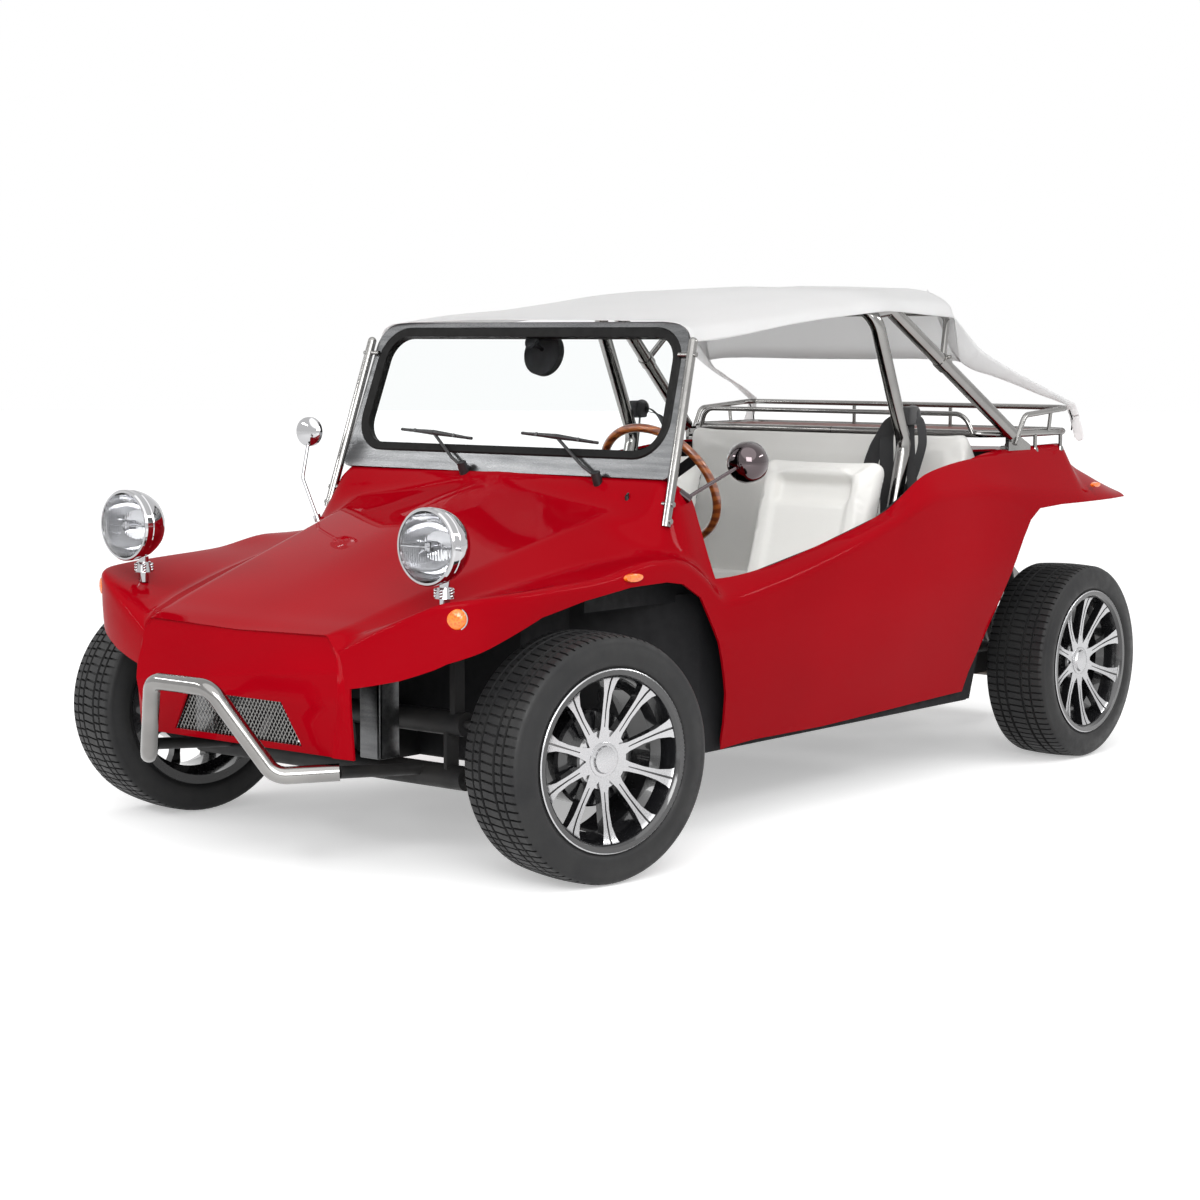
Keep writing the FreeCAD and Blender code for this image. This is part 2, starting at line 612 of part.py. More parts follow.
def interior_mirror():
    top = screen_point(0, FRAME_TOP - FRAME_HEADER - 26, -6.3)
    low = vec(0, -505, 1257)
    stem = rod(tuple(top), tuple(low), 6.0)
    pad = screen_plate(0, 0, FRAME_TOP, (15, 15, 80, 80), -16.0, -6.3).common(rod((0, -700, top.z), (0, -400, top.z), 20.0))
    glass = rod((0, -520, 1255), (0, -498, 1250), 62.0)
    beyond = screen_plate(0, -100, FRAME_TOP + 200, (5, 5, 5, 5), -6.3, 200.0)
    return biggest(stem.fuse(pad).fuse(glass).cut(beyond).cut(SEAL))


WIPER_PIVOTS = ((-109.0, -718.0, 937.0), (362.0, -718.0, 925.0))


def wipers():
    """Two arms with their blades, parked on the glass."""
    pieces = []
    for pivot, tip in zip(WIPER_PIVOTS, ((-250.0, 92.0), (195.0, 92.0))):
        spindle = rod((pivot[0], pivot[1] + 10, pivot[2] - 20), (pivot[0], pivot[1] - 6, pivot[2] + 16), 11.0)
        middle = screen_point(tip[0], tip[1], 18.0)
        arm = rod((pivot[0], pivot[1] - 4, pivot[2] + 10), tuple(middle), 5.0)
        ends = [tuple(screen_point(tip[0] + dx, tip[1] + ds, 12.5)) for dx, ds in ((-120, 12), (120, -6))]
        blade = rod(ends[0], ends[1], 5.5)
        piece = spindle.fuse(arm).fuse(blade).fuse(rod(tuple(screen_point(tip[0], tip[1], 10.0)), tuple(middle), 5.0))
        piece = max(piece.cut(SHELL).cut(FRAME).Solids, key=lambda solid: solid.Volume)
        pieces.append(piece)
    return Part.makeCompound(pieces)


# Grille: two layers of slanted strips, one behind the other, in a thin frame
GRILLE_PITCH = 42.0
GRILLE_BORDER = 12.0
GRILLE_STRIP = 6.0
GRILLE_SLOPE = 0.5
GRILLE_LAYER = 2.0
GRILLE_STRIPS = 8


def trapezium(grow, y0, y1):
    """The grille opening's own shape, grown by a border."""
    low = GRILLE_BOTTOM[1] - grow * 0.6
    high = GRILLE_TOP[1] + grow * 0.6
    return prism_xz((
        (-GRILLE_BOTTOM[0] - grow, low), (GRILLE_BOTTOM[0] + grow, low),
        (GRILLE_TOP[0] + grow, high), (-GRILLE_TOP[0] - grow, high),
    ), y0, y1)


def grille_mesh():
    """Drawn upright behind the plane Y = 0, then leaned against the back of the lower nose band."""
    mid = (GRILLE_TOP[1] + GRILLE_BOTTOM[1]) / 2.0
    reach = 90.0 / GRILLE_SLOPE
    strips = []
    for layer, sign in enumerate((-90, 90)):
        for index in range(-GRILLE_STRIPS, GRILLE_STRIPS + 1):
            left, right = index * GRILLE_PITCH - reach, index * GRILLE_PITCH + reach
            strips.append(prism_xz((
                (left, mid - sign), (right, mid + sign), (right, mid + sign + GRILLE_STRIP),
                (left, mid - sign + GRILLE_STRIP),
            ), layer * GRILLE_LAYER, (layer + 1) * GRILLE_LAYER))
    area = trapezium(GRILLE_BORDER, 0.0, 2 * GRILLE_LAYER)
    frame = area.cut(trapezium(0.0, -1.0, 3 * GRILLE_LAYER))
    mesh = biggest(frame.multiFuse(strips).common(area))
    (z0, _, y0), (z1, _, y1) = NOSE_LINES[:2]
    mesh.rotate(vec(0, 0, z0), X_AXIS, math.degrees(math.atan2(y0 - y1, z1 - z0)))
    mesh.translate(vec(0, y0 + SKIN + SEAT_GAP / 2.0, 0))
    return mesh


def bumper_bar():
    x, y, z = BUMPER_END
    half = ((x, y, z), (224.0, -1744.0, 266.0), (102.0, -1834.0, 474.0))
    points = [half[0], half[1], half[2]] + [(-px, py, pz) for px, py, pz in reversed(half)]
    return tube(points, BUMPER_TUBE / 2.0, 55.0)


# Roll cage, canopy bow, canopy
HOOP_FOOT = (520.0, 300.0, FLOOR_TOP)
HOOP_KINK = (510.0, 523.0, 987.0)
HOOP_TOP = (514.0, 338.0, 1398.0)
BRACE_TOP = (500.0, 372.0, 1372.0)
BRACE_FOOT = (648.0, 880.0, 960.0)


def roll_cage():
    left = [HOOP_FOOT, HOOP_KINK, HOOP_TOP]
    right = [(-x, y, z) for x, y, z in reversed(left)]
    hoop = tube(left + right, CAGE_TUBE / 2.0, 85.0)
    cage = hoop
    for side in (-1, 1):
        top = (side * BRACE_TOP[0], BRACE_TOP[1], BRACE_TOP[2] - 25)
        foot = (side * BRACE_FOOT[0], BRACE_FOOT[1], BRACE_FOOT[2])
        cage = cage.fuse(rod(top, foot, CAGE_TUBE / 2.0))
        cage = cage.fuse(rod((foot[0], foot[1], 930), (foot[0], foot[1], 985), 36.0))
        cage = cage.fuse(rod((side * HOOP_FOOT[0], HOOP_FOOT[1], FLOOR_TOP), (side * HOOP_FOOT[0], HOOP_FOOT[1], FLOOR_TOP + 6), 50.0))
    cage = cage.cut(box(-800, 800, 0, 500, 0, FLOOR_TOP))
    cage = cage.cut(SHELL)
    return biggest(cage)


def canopy_bow():
    left = [(574.0, 622.0, 1166.0), (496.0, 772.0, 1374.0)]
    right = [(-x, y, z) for x, y, z in reversed(left)]
    bow = tube(left + right, 10.0, 60.0)
    return biggest(bow.cut(ROLL_CAGE))


CANOPY_SHEET = 4.0
CANOPY_SECTIONS = (
    (-576, (562, 1285), (548, 1322), (500, 1341), (0, 1345)),
    (-480, (558, 1290), (546, 1330), (480, 1352), (0, 1358)),
    (-100, (552, 1335), (540, 1362), (440, 1390), (0, 1402)),
    (300, (547, 1370), (531, 1402), (440, 1433), (0, 1447)),
    (380, (545, 1374), (529, 1404), (430, 1435), (0, 1450)),
    (600, (536, 1366), (520, 1404), (410, 1440), (0, 1454)),
    (775, (522, 1358), (505, 1402), (420, 1446), (0, 1460)),
)
CANOPY_HEM = (880, (470, 1262), (455, 1268), (400, 1275), (0, 1268))
STRIP_END_Y = 1440.0


def canopy():
    wires = [skin_wire(station, CANOPY_SHEET) for station in CANOPY_SECTIONS]
    sheet = Part.makeLoft(wires, True, True)
    back = Part.makeLoft([skin_wire(CANOPY_SECTIONS[-1], CANOPY_SHEET), skin_wire(CANOPY_HEM, CANOPY_SHEET)], True, True)
    sheet = sheet.fuse(back)
    for side in (-1, 1):
        wires = []
        for y, inner, outer in ((775, (425, 1444), (522, 1360)), (880, (420, 1272), (545, 1300)), (STRIP_END_Y, (490, 1088), (580, 1078))):
            wires.append(polygon([
                (side * inner[0], y, inner[1]), (side * outer[0], y, outer[1]),
                (side * outer[0], y, outer[1] - CANOPY_SHEET), (side * inner[0], y, inner[1] - CANOPY_SHEET),
            ]))
        strip = Part.makeLoft(wires, True, True)
        sheet = sheet.fuse(strip)
    return biggest(sheet)


# Luggage rack over the rear deck
RACK_HALF = 552.0
RACK_FRONT = 1090.0
RACK_REAR = 1428.0
RACK_RAIL_Z = 1072.0
RACK_TRAY_Z = 1012.0


def luggage_rack():
    radius = RACK_TUBE / 2.0
    left = [(RACK_HALF, RACK_FRONT, 940.0), (RACK_HALF, RACK_FRONT + 35, RACK_RAIL_Z - 8), (RACK_HALF, RACK_REAR, RACK_RAIL_Z)]
    right = [(-x, y, z) for x, y, z in reversed(left)]
    rack = tube(left + right, radius, 24.0)
    corner = RACK_HALF - 4.0
    loop = prism_xy(((-corner, RACK_FRONT + 12), (corner, RACK_FRONT + 12), (corner, RACK_REAR + 6), (-corner, RACK_REAR + 6)),
                    RACK_TRAY_Z - 7, RACK_TRAY_Z + 7)
    inside = corner - 14.0
    loop = loop.cut(prism_xy(((-inside, RACK_FRONT + 26), (inside, RACK_FRONT + 26), (inside, RACK_REAR - 8), (-inside, RACK_REAR - 8)),
                             RACK_TRAY_Z - 20, RACK_TRAY_Z + 20))
    rack = rack.fuse(loop)
    for side in (-1, 1):
        rack = rack.fuse(rod((side * (RACK_HALF - 11), 1270, 930), (side * (RACK_HALF - 11), 1270, RACK_TRAY_Z), radius - 3))
        for x in (RACK_HALF - 36, 200.0):
            rack = rack.fuse(rod((side * x, RACK_REAR, RACK_TRAY_Z), (side * x, RACK_REAR, RACK_RAIL_Z), radius - 3))
    return max(rack.cut(SHELL).Solids, key=lambda solid: solid.Volume)


SLATS = 6
SLAT_WIDTH = 34.0


def rack_tray():
    """Slats between the tray tubes, each lying on two bearers."""
    slats = []
    first = RACK_FRONT + 50.0
    pitch = (RACK_REAR - 40.0 - first) / (SLATS - 1)
    for index in range(SLATS):
        y = first + pitch * index
        slats.append(box(-RACK_HALF + 18.3, RACK_HALF - 18.3, y - SLAT_WIDTH / 2, y + SLAT_WIDTH / 2, RACK_TRAY_Z - 4, RACK_TRAY_Z + 6))
    tray = slats[0]
    for slat in slats[1:]:
        tray = tray.fuse(slat)
    for x in (-400, 0, 400):
        tray = tray.fuse(box(x - 12, x + 12, RACK_FRONT + 26.3, RACK_REAR - 8.3, RACK_TRAY_Z - 12, RACK_TRAY_Z - 4))
    return tray


# Cabin fittings
SEAT_X = 330.0
SEAT_HALF = 215.0
SEAT_BASE = 330.0
SEAT_PROFILE = (
    (-150, SEAT_BASE), (-165, 500), (-140, 535), (-100, 545), (190, 490), (215, 520), (335, 925), (360, 948),
    (392, 940), (405, 915), (310, 480), (290, SEAT_BASE),
)
BENCH_PROFILE = (
    (490, 400), (480, 540), (510, 572), (560, 580), (830, 535), (850, 560), (885, 985), (900, 1010), (930, 1008),
    (944, 985), (944, 650), (770, 430), (750, 400),
)


def seat(side):
    return prism_yz(SEAT_PROFILE, side * SEAT_X - SEAT_HALF, side * SEAT_X + SEAT_HALF)


def seat_frames():
    rails = []
    for side in (-1, 1):
        for dx in (-115, 115):
            x = side * SEAT_X + dx
            rails.append(box(x - 18, x + 18, -120, 260, FLOOR_TOP, SEAT_BASE - SEAT_GAP))
        rails.append(box(side * 280 - 190, side * 280 + 190, 520, 540, FLOOR_TOP, 400 - SEAT_GAP))
    return Part.makeCompound(rails)


def rear_bench():
    return prism_yz(BENCH_PROFILE, -540.0, 540.0)


BELT_X = 566.0


def seat_belts():
    belts = []
    for side in (-1, 1):
        reel = box(side * 510 - 24, side * 510 + 24, 520, 575, 1040, 1100)
        strap = prism_xz(((side * 530, 1045), (side * BELT_X, FLOOR_TOP + 40), (side * BELT_X + 2, FLOOR_TOP + 40),
                          (side * 530 + 2, 1045)), 530, 572)
        anchor = box(side * BELT_X - 15, side * BELT_X + 15, 528, 575, FLOOR_TOP, FLOOR_TOP + 45)
        belts.append(biggest(reel.fuse(strap).fuse(anchor).cut(ROLL_CAGE)))
    return Part.makeCompound(belts)


def dashboard():
    panel = prism_xz(((-590, 960), (590, 960), (620, 760), (590, 690), (-590, 690), (-620, 760)), -668, -650)
    for x, radius in ((330, 62), (470, 30), (190, 30), (0, 26), (-80, 26)):
        panel = panel.fuse(rod((x, -652, 830), (x, -640, 830), radius))
    return biggest(panel.cut(SHELL).cut(FRAME).cut(STEERING_COLUMN))


def levers():
    """Gear lever, handbrake and the pedals."""
    gear = rod((0, -260, TUNNEL_TOP), (0, -225, 600), 7.0).fuse(Part.makeSphere(24, vec(0, -225, 610)))
    gear = gear.fuse(rod((0, -260, TUNNEL_TOP), (0, -260, TUNNEL_TOP + 25), 34.0))
    brake = rod((0, 40, TUNNEL_TOP), (0, -110, 470), 12.0).fuse(box(-16, 16, 10, 70, TUNNEL_TOP, TUNNEL_TOP + 40))
    gear = gear.cut(box(-60, 60, -400, 100, 0, TUNNEL_TOP))
    brake = brake.cut(box(-60, 60, -400, 100, 0, TUNNEL_TOP))
    pieces = [biggest(gear), biggest(brake)]
    for x in (210, 300, 380):
        stalk = rod((x, -960, FLOOR_TOP), (x, -930, 340), 7.0)
        pedal = stalk.fuse(box(x - 26, x + 26, -944, -930, 330, 400)).cut(box(0, 600, -1100, -800, 0, FLOOR_TOP))
        pieces.append(biggest(pedal))
    return Part.makeCompound(pieces)


WHEEL_TILT = 30.4
STEERING_CENTRE = (SEAT_X, -412.0, 901.0)
STEERING_RADIUS = 180.0
COLUMN_RADIUS = 16.0


def steering_wheel():
    """Wooden rim on three drilled spokes, modelled flat and tilted to the column."""
    rim_ring = Part.makeTorus(STEERING_RADIUS, 12.0, ORIGIN, Y_AXIS)
    wheel = rim_ring
    for angle in (90, 210, 330):
        spoke = box(20, STEERING_RADIUS, -3, 3, -14, 14)
        spoke.rotate(ORIGIN, Y_AXIS, angle)
        wheel = wheel.fuse(spoke)
    wheel = wheel.fuse(rod((0, -20, 0), (0, 14, 0), 32.0))
    wheel.rotate(ORIGIN, X_AXIS, WHEEL_TILT)
    wheel.translate(vec(*STEERING_CENTRE))
    return wheel


def along_column(distance):
    tilt = math.radians(WHEEL_TILT)
    x, y, z = STEERING_CENTRE
    return (x, y - distance * math.cos(tilt), z - distance * math.sin(tilt))


def steering_column():
    column = rod(along_column(20.0 + SEAT_GAP), along_column(690.0), COLUMN_RADIUS)
    column = column.fuse(rod(along_column(60.0), along_column(190.0), 26.0))
    column = column.fuse(rod(along_column(230), tuple(vec(*along_column(230)) + vec(0, 0, 60)), 12.0))
    return column


# Rear drive train
GEARBOX_FRONT = 1000.0
ENGINE_FRONT = 1390.0
CRANK_HEIGHT = 345.0
TORSION_Y = 880.0
TORSION_Z = 300.0
TORSION_RADIUS = 42.0
SPINE_HALF = 60.0
EXHAUST_REAR = 1855.0


def gearbox():
    case = rod((0, GEARBOX_FRONT, CRANK_HEIGHT), (0, 1130, CRANK_HEIGHT), 80.0)
    case = case.fuse(rod((0, 1120, CRANK_HEIGHT - 10), (0, 1290, CRANK_HEIGHT - 10), 125.0))
    case = case.fuse(rod((0, 1290, CRANK_HEIGHT), (0, ENGINE_FRONT, CRANK_HEIGHT), 150.0))
    case = case.fuse(rod((-520, REAR_AXLE_Y, WHEEL_RADIUS), (520, REAR_AXLE_Y, WHEEL_RADIUS), 36.0))
    for side in (-1, 1):
        centre = side * REAR_HALF_TRACK
        plate = rod((centre - side * 52, REAR_AXLE_Y, WHEEL_RADIUS), (centre - side * 47, REAR_AXLE_Y, WHEEL_RADIUS), DRUM_RADIUS - 2)
        tube_end = rod((side * 515, REAR_AXLE_Y, WHEEL_RADIUS), (centre - side * 50, REAR_AXLE_Y, WHEEL_RADIUS), 34.0)
        stub = rod((centre - side * 60, REAR_AXLE_Y, WHEEL_RADIUS), (centre + side * (HUB_FACE + 24), REAR_AXLE_Y, WHEEL_RADIUS), SPINDLE_RADIUS)
        case = case.fuse(plate).fuse(tube_end).fuse(stub)
    return case


def rear_suspension():
    """Torsion housing across the car, trailing plates to the axle tubes, dampers."""
    parts = rod((-500, TORSION_Y, TORSION_Z), (500, TORSION_Y, TORSION_Z), TORSION_RADIUS)
    for side in (-1, 1):
        blade = box(side * 516 - 5, side * 516 + 5, TORSION_Y - 30, REAR_AXLE_Y + 30, TORSION_Z - 32, TORSION_Z + 32)
        boss = rod((side * 498, TORSION_Y, TORSION_Z), (side * 521, TORSION_Y, TORSION_Z), 30.0)
        damper = rod((side * 490, REAR_AXLE_Y + 62, WHEEL_RADIUS - 10), (side * 440, REAR_AXLE_Y + 20, 640), 20.0)
        tower = rod((side * 440, REAR_AXLE_Y + 20, 640), (side * 420, TORSION_Y, TORSION_Z), 14.0)
        lug = box(side * 516 - 34, side * 516 + 5, REAR_AXLE_Y + 20, REAR_AXLE_Y + 80, TORSION_Z - 32, TORSION_Z - 8)
        parts = parts.fuse(blade).fuse(boss).fuse(damper).fuse(tower).fuse(lug)
        fork = rod((side * 200, TORSION_Y, TORSION_Z), (side * 150, GEARBOX_FRONT + 40, CRANK_HEIGHT), 24.0)
        parts = parts.fuse(fork)
    spine = box(-SPINE_HALF, SPINE_HALF, PAN_REAR, TORSION_Y, TORSION_Z - 45, TORSION_Z + 30)
    return biggest(parts.fuse(spine).cut(GEARBOX).cut(TUB).cut(FLOOR_PAN))


def engine():
    """Flat four: case, finned cylinders, fan housing, pulleys and generator."""
    case = box(-110, 110, ENGINE_FRONT, 1740, CRANK_HEIGHT - 150, CRANK_HEIGHT + 70)
    block = case
    for side in (-1, 1):
        for y in (1470, 1600):
            block = block.fuse(rod((side * 105, y, CRANK_HEIGHT), (side * 300, y, CRANK_HEIGHT), 44.0))
            for index in range(7):
                x = side * (140 + index * 22)
                block = block.fuse(rod((x - 4, y, CRANK_HEIGHT), (x + 4, y, CRANK_HEIGHT), 58.0))
        head = box(side * 330 - 35, side * 330 + 35, 1405, 1665, CRANK_HEIGHT - 60, CRANK_HEIGHT + 60)
        cover = box(side * 376 - 12, side * 376 + 12, 1420, 1650, CRANK_HEIGHT - 50, CRANK_HEIGHT + 40)
        block = block.fuse(head).fuse(cover)
    housing = prism_xz(((-310, 440), (310, 440), (310, 520), (190, 640), (120, 745), (-120, 745), (-190, 640), (-310, 520)), 1440, 1560)
    block = block.fuse(housing).fuse(rod((0, 1560, 610), (0, 1690, 610), 58.0)).fuse(box(-60, 60, 1560, 1680, 410, 560))
    block = block.fuse(rod((0, 1690, 610), (0, 1722, 610), 55.0)).fuse(rod((0, 1739, CRANK_HEIGHT), (0, 1775, CRANK_HEIGHT), 80.0))
    return block


def exhaust():
    """Transverse silencer with four header pipes and two tailpipes."""
    silencer = rod((-250, 1799, 188), (250, 1799, 188), 52.0)
    for side in (-1, 1):
        silencer = silencer.fuse(tube(((side * 330, 1600, CRANK_HEIGHT - 60 - SEAT_GAP), (side * 330, 1600, 188), (side * 330, 1799, 188), (side * 245, 1799, 188)), 20.0, 30.0))
        silencer = silencer.fuse(rod((side * 120, 1799, 176), (side * 120, EXHAUST_REAR, 176), 18.0))
    return silencer


FLOOR_PAN = floor_pan()
GEARBOX = gearbox()
ROLL_CAGE = roll_cage()
STEERING_COLUMN = steering_column()

write("body_shell", SHELL)
write("cockpit_tub", TUB)
write("floor_pan", FLOOR_PAN)
write("front_axle", front_axle())
write("grille_mesh", grille_mesh())
write("bumper_bar", bumper_bar())
write("windscreen_frame", FRAME)
write("windscreen_seal", SEAL)
write("windscreen_glass", GLASS)
write("windscreen_stays", windscreen_stays())
write("wipers", wipers())
write("interior_mirror", interior_mirror())
write("door_mirrors", door_mirrors())
write("headlamps", both_sides(headlamp()))
write("headlamp_lenses", both_sides(headlamp_lens()))
write("marker_lamps", marker_lamps())
write("tail_lamps", tail_lamps())
write("roll_cage", ROLL_CAGE)
write("canopy_bow", canopy_bow())
write("canopy", canopy())
write("luggage_rack", luggage_rack())
write("rack_tray", rack_tray())
write("seat_left", seat(1))
write("seat_right", seat(-1))
write("seat_frames", seat_frames())
write("rear_bench", rear_bench())
write("seat_belts", seat_belts())
write("dashboard", dashboard())
write("levers", levers())
write("steering_column", STEERING_COLUMN)
write("steering_wheel", steering_wheel())
write("gearbox", GEARBOX)
write("rear_suspension", rear_suspension())
write("engine", engine())
write("exhaust", exhaust())
TYRE = tyre()
RIM = rim()
for label, side in (("left", 1), ("right", -1)):
    write("knuckle_" + label, knuckle(side))
    write("tyre_front_" + label, placed_wheel(TYRE, side, front_centre(side), STEER_ANGLE))
    write("rim_front_" + label, placed_wheel(RIM, side, front_centre(side), STEER_ANGLE))
    rear_centre = (side * REAR_HALF_TRACK, REAR_AXLE_Y, WHEEL_RADIUS)
    write("tyre_rear_" + label, placed_wheel(TYRE, side, rear_centre, 0.0))
    write("rim_rear_" + label, placed_wheel(RIM, side, rear_centre, 0.0))
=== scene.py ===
import math
import bmesh
import bpy
from mathutils import Matrix, Vector, noise


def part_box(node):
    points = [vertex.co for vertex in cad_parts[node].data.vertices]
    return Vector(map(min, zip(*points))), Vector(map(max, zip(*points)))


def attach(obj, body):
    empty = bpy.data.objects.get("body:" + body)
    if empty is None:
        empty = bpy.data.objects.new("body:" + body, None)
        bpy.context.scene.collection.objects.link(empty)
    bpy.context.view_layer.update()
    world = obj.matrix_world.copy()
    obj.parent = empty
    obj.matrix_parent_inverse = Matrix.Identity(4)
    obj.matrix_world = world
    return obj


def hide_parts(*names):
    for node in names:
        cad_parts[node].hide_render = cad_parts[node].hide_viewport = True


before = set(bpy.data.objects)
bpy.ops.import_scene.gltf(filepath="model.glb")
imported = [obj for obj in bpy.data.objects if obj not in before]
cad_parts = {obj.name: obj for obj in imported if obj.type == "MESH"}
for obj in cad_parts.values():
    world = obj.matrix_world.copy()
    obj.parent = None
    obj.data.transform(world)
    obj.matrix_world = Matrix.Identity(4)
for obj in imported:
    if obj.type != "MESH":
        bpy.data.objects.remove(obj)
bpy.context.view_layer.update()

bl_info = {
    "name": "Dune buggy",
    "version": (1, 0, 0),
    "blender": (4, 5, 0),
    "location": "View3D > Sidebar > Buggy",
    "description": "Builds the visible pieces of a four-seat dune buggy around its packed frame",
    "category": "Object",
}

MM = 0.001
TURN = 2 * math.pi
CHASSIS = "chassis"
SIDES = (("left", 1), ("right", -1))
UP = Vector((0, 0, 1))


# Sizes and colours that a user would change

class PaintSettings(bpy.types.PropertyGroup):
    red: bpy.props.FloatVectorProperty(
        name="Body red", description="Colour of the gelcoat", subtype="COLOR", size=3, min=0, max=1,
        default=(0.33, 0.001, 0.006))
    wall: bpy.props.FloatProperty(
        name="Body wall", description="Thickness of the body's skin", subtype="DISTANCE", default=0.006)
    gloss: bpy.props.FloatProperty(
        name="Coat roughness", description="Roughness of the clear coat", min=0, max=1, default=0.03)


class WheelSettings(bpy.types.PropertyGroup):
    pitches: bpy.props.IntProperty(
        name="Tread pitches", description="Tread blocks round the tyre", min=24, max=120, default=84)
    groove: bpy.props.FloatProperty(
        name="Groove depth", description="Depth of the tread grooves", subtype="DISTANCE", default=0.007)
    spokes: bpy.props.IntProperty(name="Spokes", description="Spokes of each rim", min=5, max=14, default=10)


class TrimSettings(bpy.types.PropertyGroup):
    vinyl: bpy.props.FloatVectorProperty(
        name="Cushion vinyl", description="Colour of the seats and the bench", subtype="COLOR", size=3,
        min=0, max=1, default=(0.88, 0.87, 0.84))
    swell: bpy.props.FloatProperty(
        name="Swell", description="How far the padding may swell", subtype="DISTANCE", default=0.012)
    canopy: bpy.props.FloatVectorProperty(
        name="Canopy vinyl", description="Colour of the canopy", subtype="COLOR", size=3, min=0, max=1,
        default=(0.90, 0.90, 0.90))
    wrinkle: bpy.props.FloatProperty(
        name="Wrinkle", description="Height of the canopy's wrinkles", subtype="DISTANCE", default=0.004)


class StudioSettings(bpy.types.PropertyGroup):
    floor: bpy.props.FloatVectorProperty(
        name="Floor", description="Colour of the floor", subtype="COLOR", size=3, min=0, max=1,
        default=(0.84, 0.84, 0.84))
    sky: bpy.props.FloatProperty(name="Sky", description="Strength of the sky light overhead", default=0.58)
    overhead: bpy.props.FloatProperty(
        name="Overhead light", description="Strength of the wide overhead light", default=1.5)
    front: bpy.props.FloatProperty(
        name="Front light", description="Power of the large front light in watts", default=165)
    panels: bpy.props.FloatProperty(
        name="Side panels", description="Power of each side panel in watts", default=55)


# Small makers in bmesh
ARC_STEPS = 10


def carry(bm, other):
    """Adds one bmesh to another and frees it."""
    mesh = bpy.data.meshes.new("carried")
    other.to_mesh(mesh)
    other.free()
    bm.from_mesh(mesh)
    bpy.data.meshes.remove(mesh)


def bar(bm, start, end, radius, far_radius=None, sides=24):
    """A round bar or cone between two points."""
    start, end = Vector(start), Vector(end)
    run = end - start
    place = Matrix.Translation((start + end) / 2) @ run.to_track_quat("Z", "Y").to_matrix().to_4x4()
    far_radius = radius if far_radius is None else far_radius
    return bmesh.ops.create_cone(bm, cap_ends=True, segments=sides, radius1=radius, radius2=far_radius,
                                 depth=run.length, matrix=place)["verts"]


def block(bm, low, high, bevel=0.0):
    """A box between two corners, with rounded edges."""
    low, high = Vector(low), Vector(high)
    place = Matrix.Translation((low + high) / 2) @ Matrix.Diagonal((*(high - low), 1))
    verts = bmesh.ops.create_cube(bm, size=1, matrix=place)["verts"]
    if bevel:
        edges = list({edge for vert in verts for edge in vert.link_edges})
        bmesh.ops.bevel(bm, geom=edges, offset=bevel, offset_type="OFFSET", affect="EDGES", segments=3,
                        profile=0.5, material=-1)
    return verts


def ball(bm, centre, radius, stretch=(1, 1, 1)):
    place = Matrix.Translation(centre) @ Matrix.Diagonal((*stretch, 1))
    return bmesh.ops.create_uvsphere(bm, u_segments=32, v_segments=16, radius=radius, matrix=place)["verts"]


def lathe(profile, steps=64, place=None, closed=True):
    """A turned solid about +X from (along, radius) points."""
    bm = bmesh.new()
    verts = [bm.verts.new((along, 0, radius)) for along, radius in profile]
    pairs = list(zip(verts, verts[1:]))
    if closed:
        pairs.append((verts[-1], verts[0]))
    edges = [bm.edges.new(pair) for pair in pairs]
    bmesh.ops.spin(bm, geom=verts + edges, cent=(0, 0, 0), axis=(1, 0, 0), angle=TURN, steps=steps,
                   use_merge=True)
    bmesh.ops.remove_doubles(bm, verts=bm.verts, dist=1e-6)
    bmesh.ops.recalc_face_normals(bm, faces=bm.faces)
    if place:
        bmesh.ops.transform(bm, matrix=place, verts=bm.verts)
    return bm


def rounded_route(points, bend):
    """Straight runs joined by arcs of the bend radius."""
    corners = [Vector(p) for p in points]
    line = [corners[0]]
    for before, corner, after in zip(corners, corners[1:], corners[2:]):
        into, out = (before - corner).normalized(), (after - corner).normalized()
        half = into.angle(out) / 2
        reach = bend / math.tan(half)
        centre = corner + (into + out).normalized() * (bend / math.sin(half))
        first, last = corner + into * reach - centre, corner + out * reach - centre
        swing = first.angle(last)
        for step in range(ARC_STEPS + 1):
            share = step / ARC_STEPS
            arm = first * math.sin((1 - share) * swing) + last * math.sin(share * swing)
            line.append(centre + arm / math.sin(swing))
    line.append(corners[-1])
    return line


def pipe(bm, points, radius, bend=0.0, cyclic=False, sides=5):
    """A smooth bent tube through the points."""
    route = rounded_route(points, bend) if bend else [Vector(p) for p in points]
    curve = bpy.data.curves.new("pipe", "CURVE")
    curve.dimensions = "3D"
    spline = curve.splines.new("POLY")
    spline.points.add(len(route) - 1)
    for point, place in zip(spline.points, route):
        point.co = (*place, 1)
    spline.use_cyclic_u = cyclic
    curve.bevel_depth = radius
    curve.bevel_resolution = sides
    curve.use_fill_caps = not cyclic
    maker = bpy.data.objects.new("pipe", curve)
    mesh = bpy.data.meshes.new_from_object(maker)
    bm.from_mesh(mesh)
    bpy.data.objects.remove(maker)
    bpy.data.curves.remove(curve)
    bpy.data.meshes.remove(mesh)


def prism(bm, outline, axis, low, high):
    """An outline of two-number points, extruded along x, y or z."""
    def at(point, along):
        a, b = point
        return {"x": (along, a, b), "y": (a, along, b), "z": (a, b, along)}[axis]
    face = bm.faces.new([bm.verts.new(at(point, low)) for point in outline])
    grown = bmesh.ops.extrude_face_region(bm, geom=[face])["geom"]
    verts = [item for item in grown if isinstance(item, bmesh.types.BMVert)]
    shift = Vector(at((0, 0), high)) - Vector(at((0, 0), low))
    bmesh.ops.translate(bm, vec=shift, verts=verts)
    return list({vert for vert in face.verts} | set(verts))


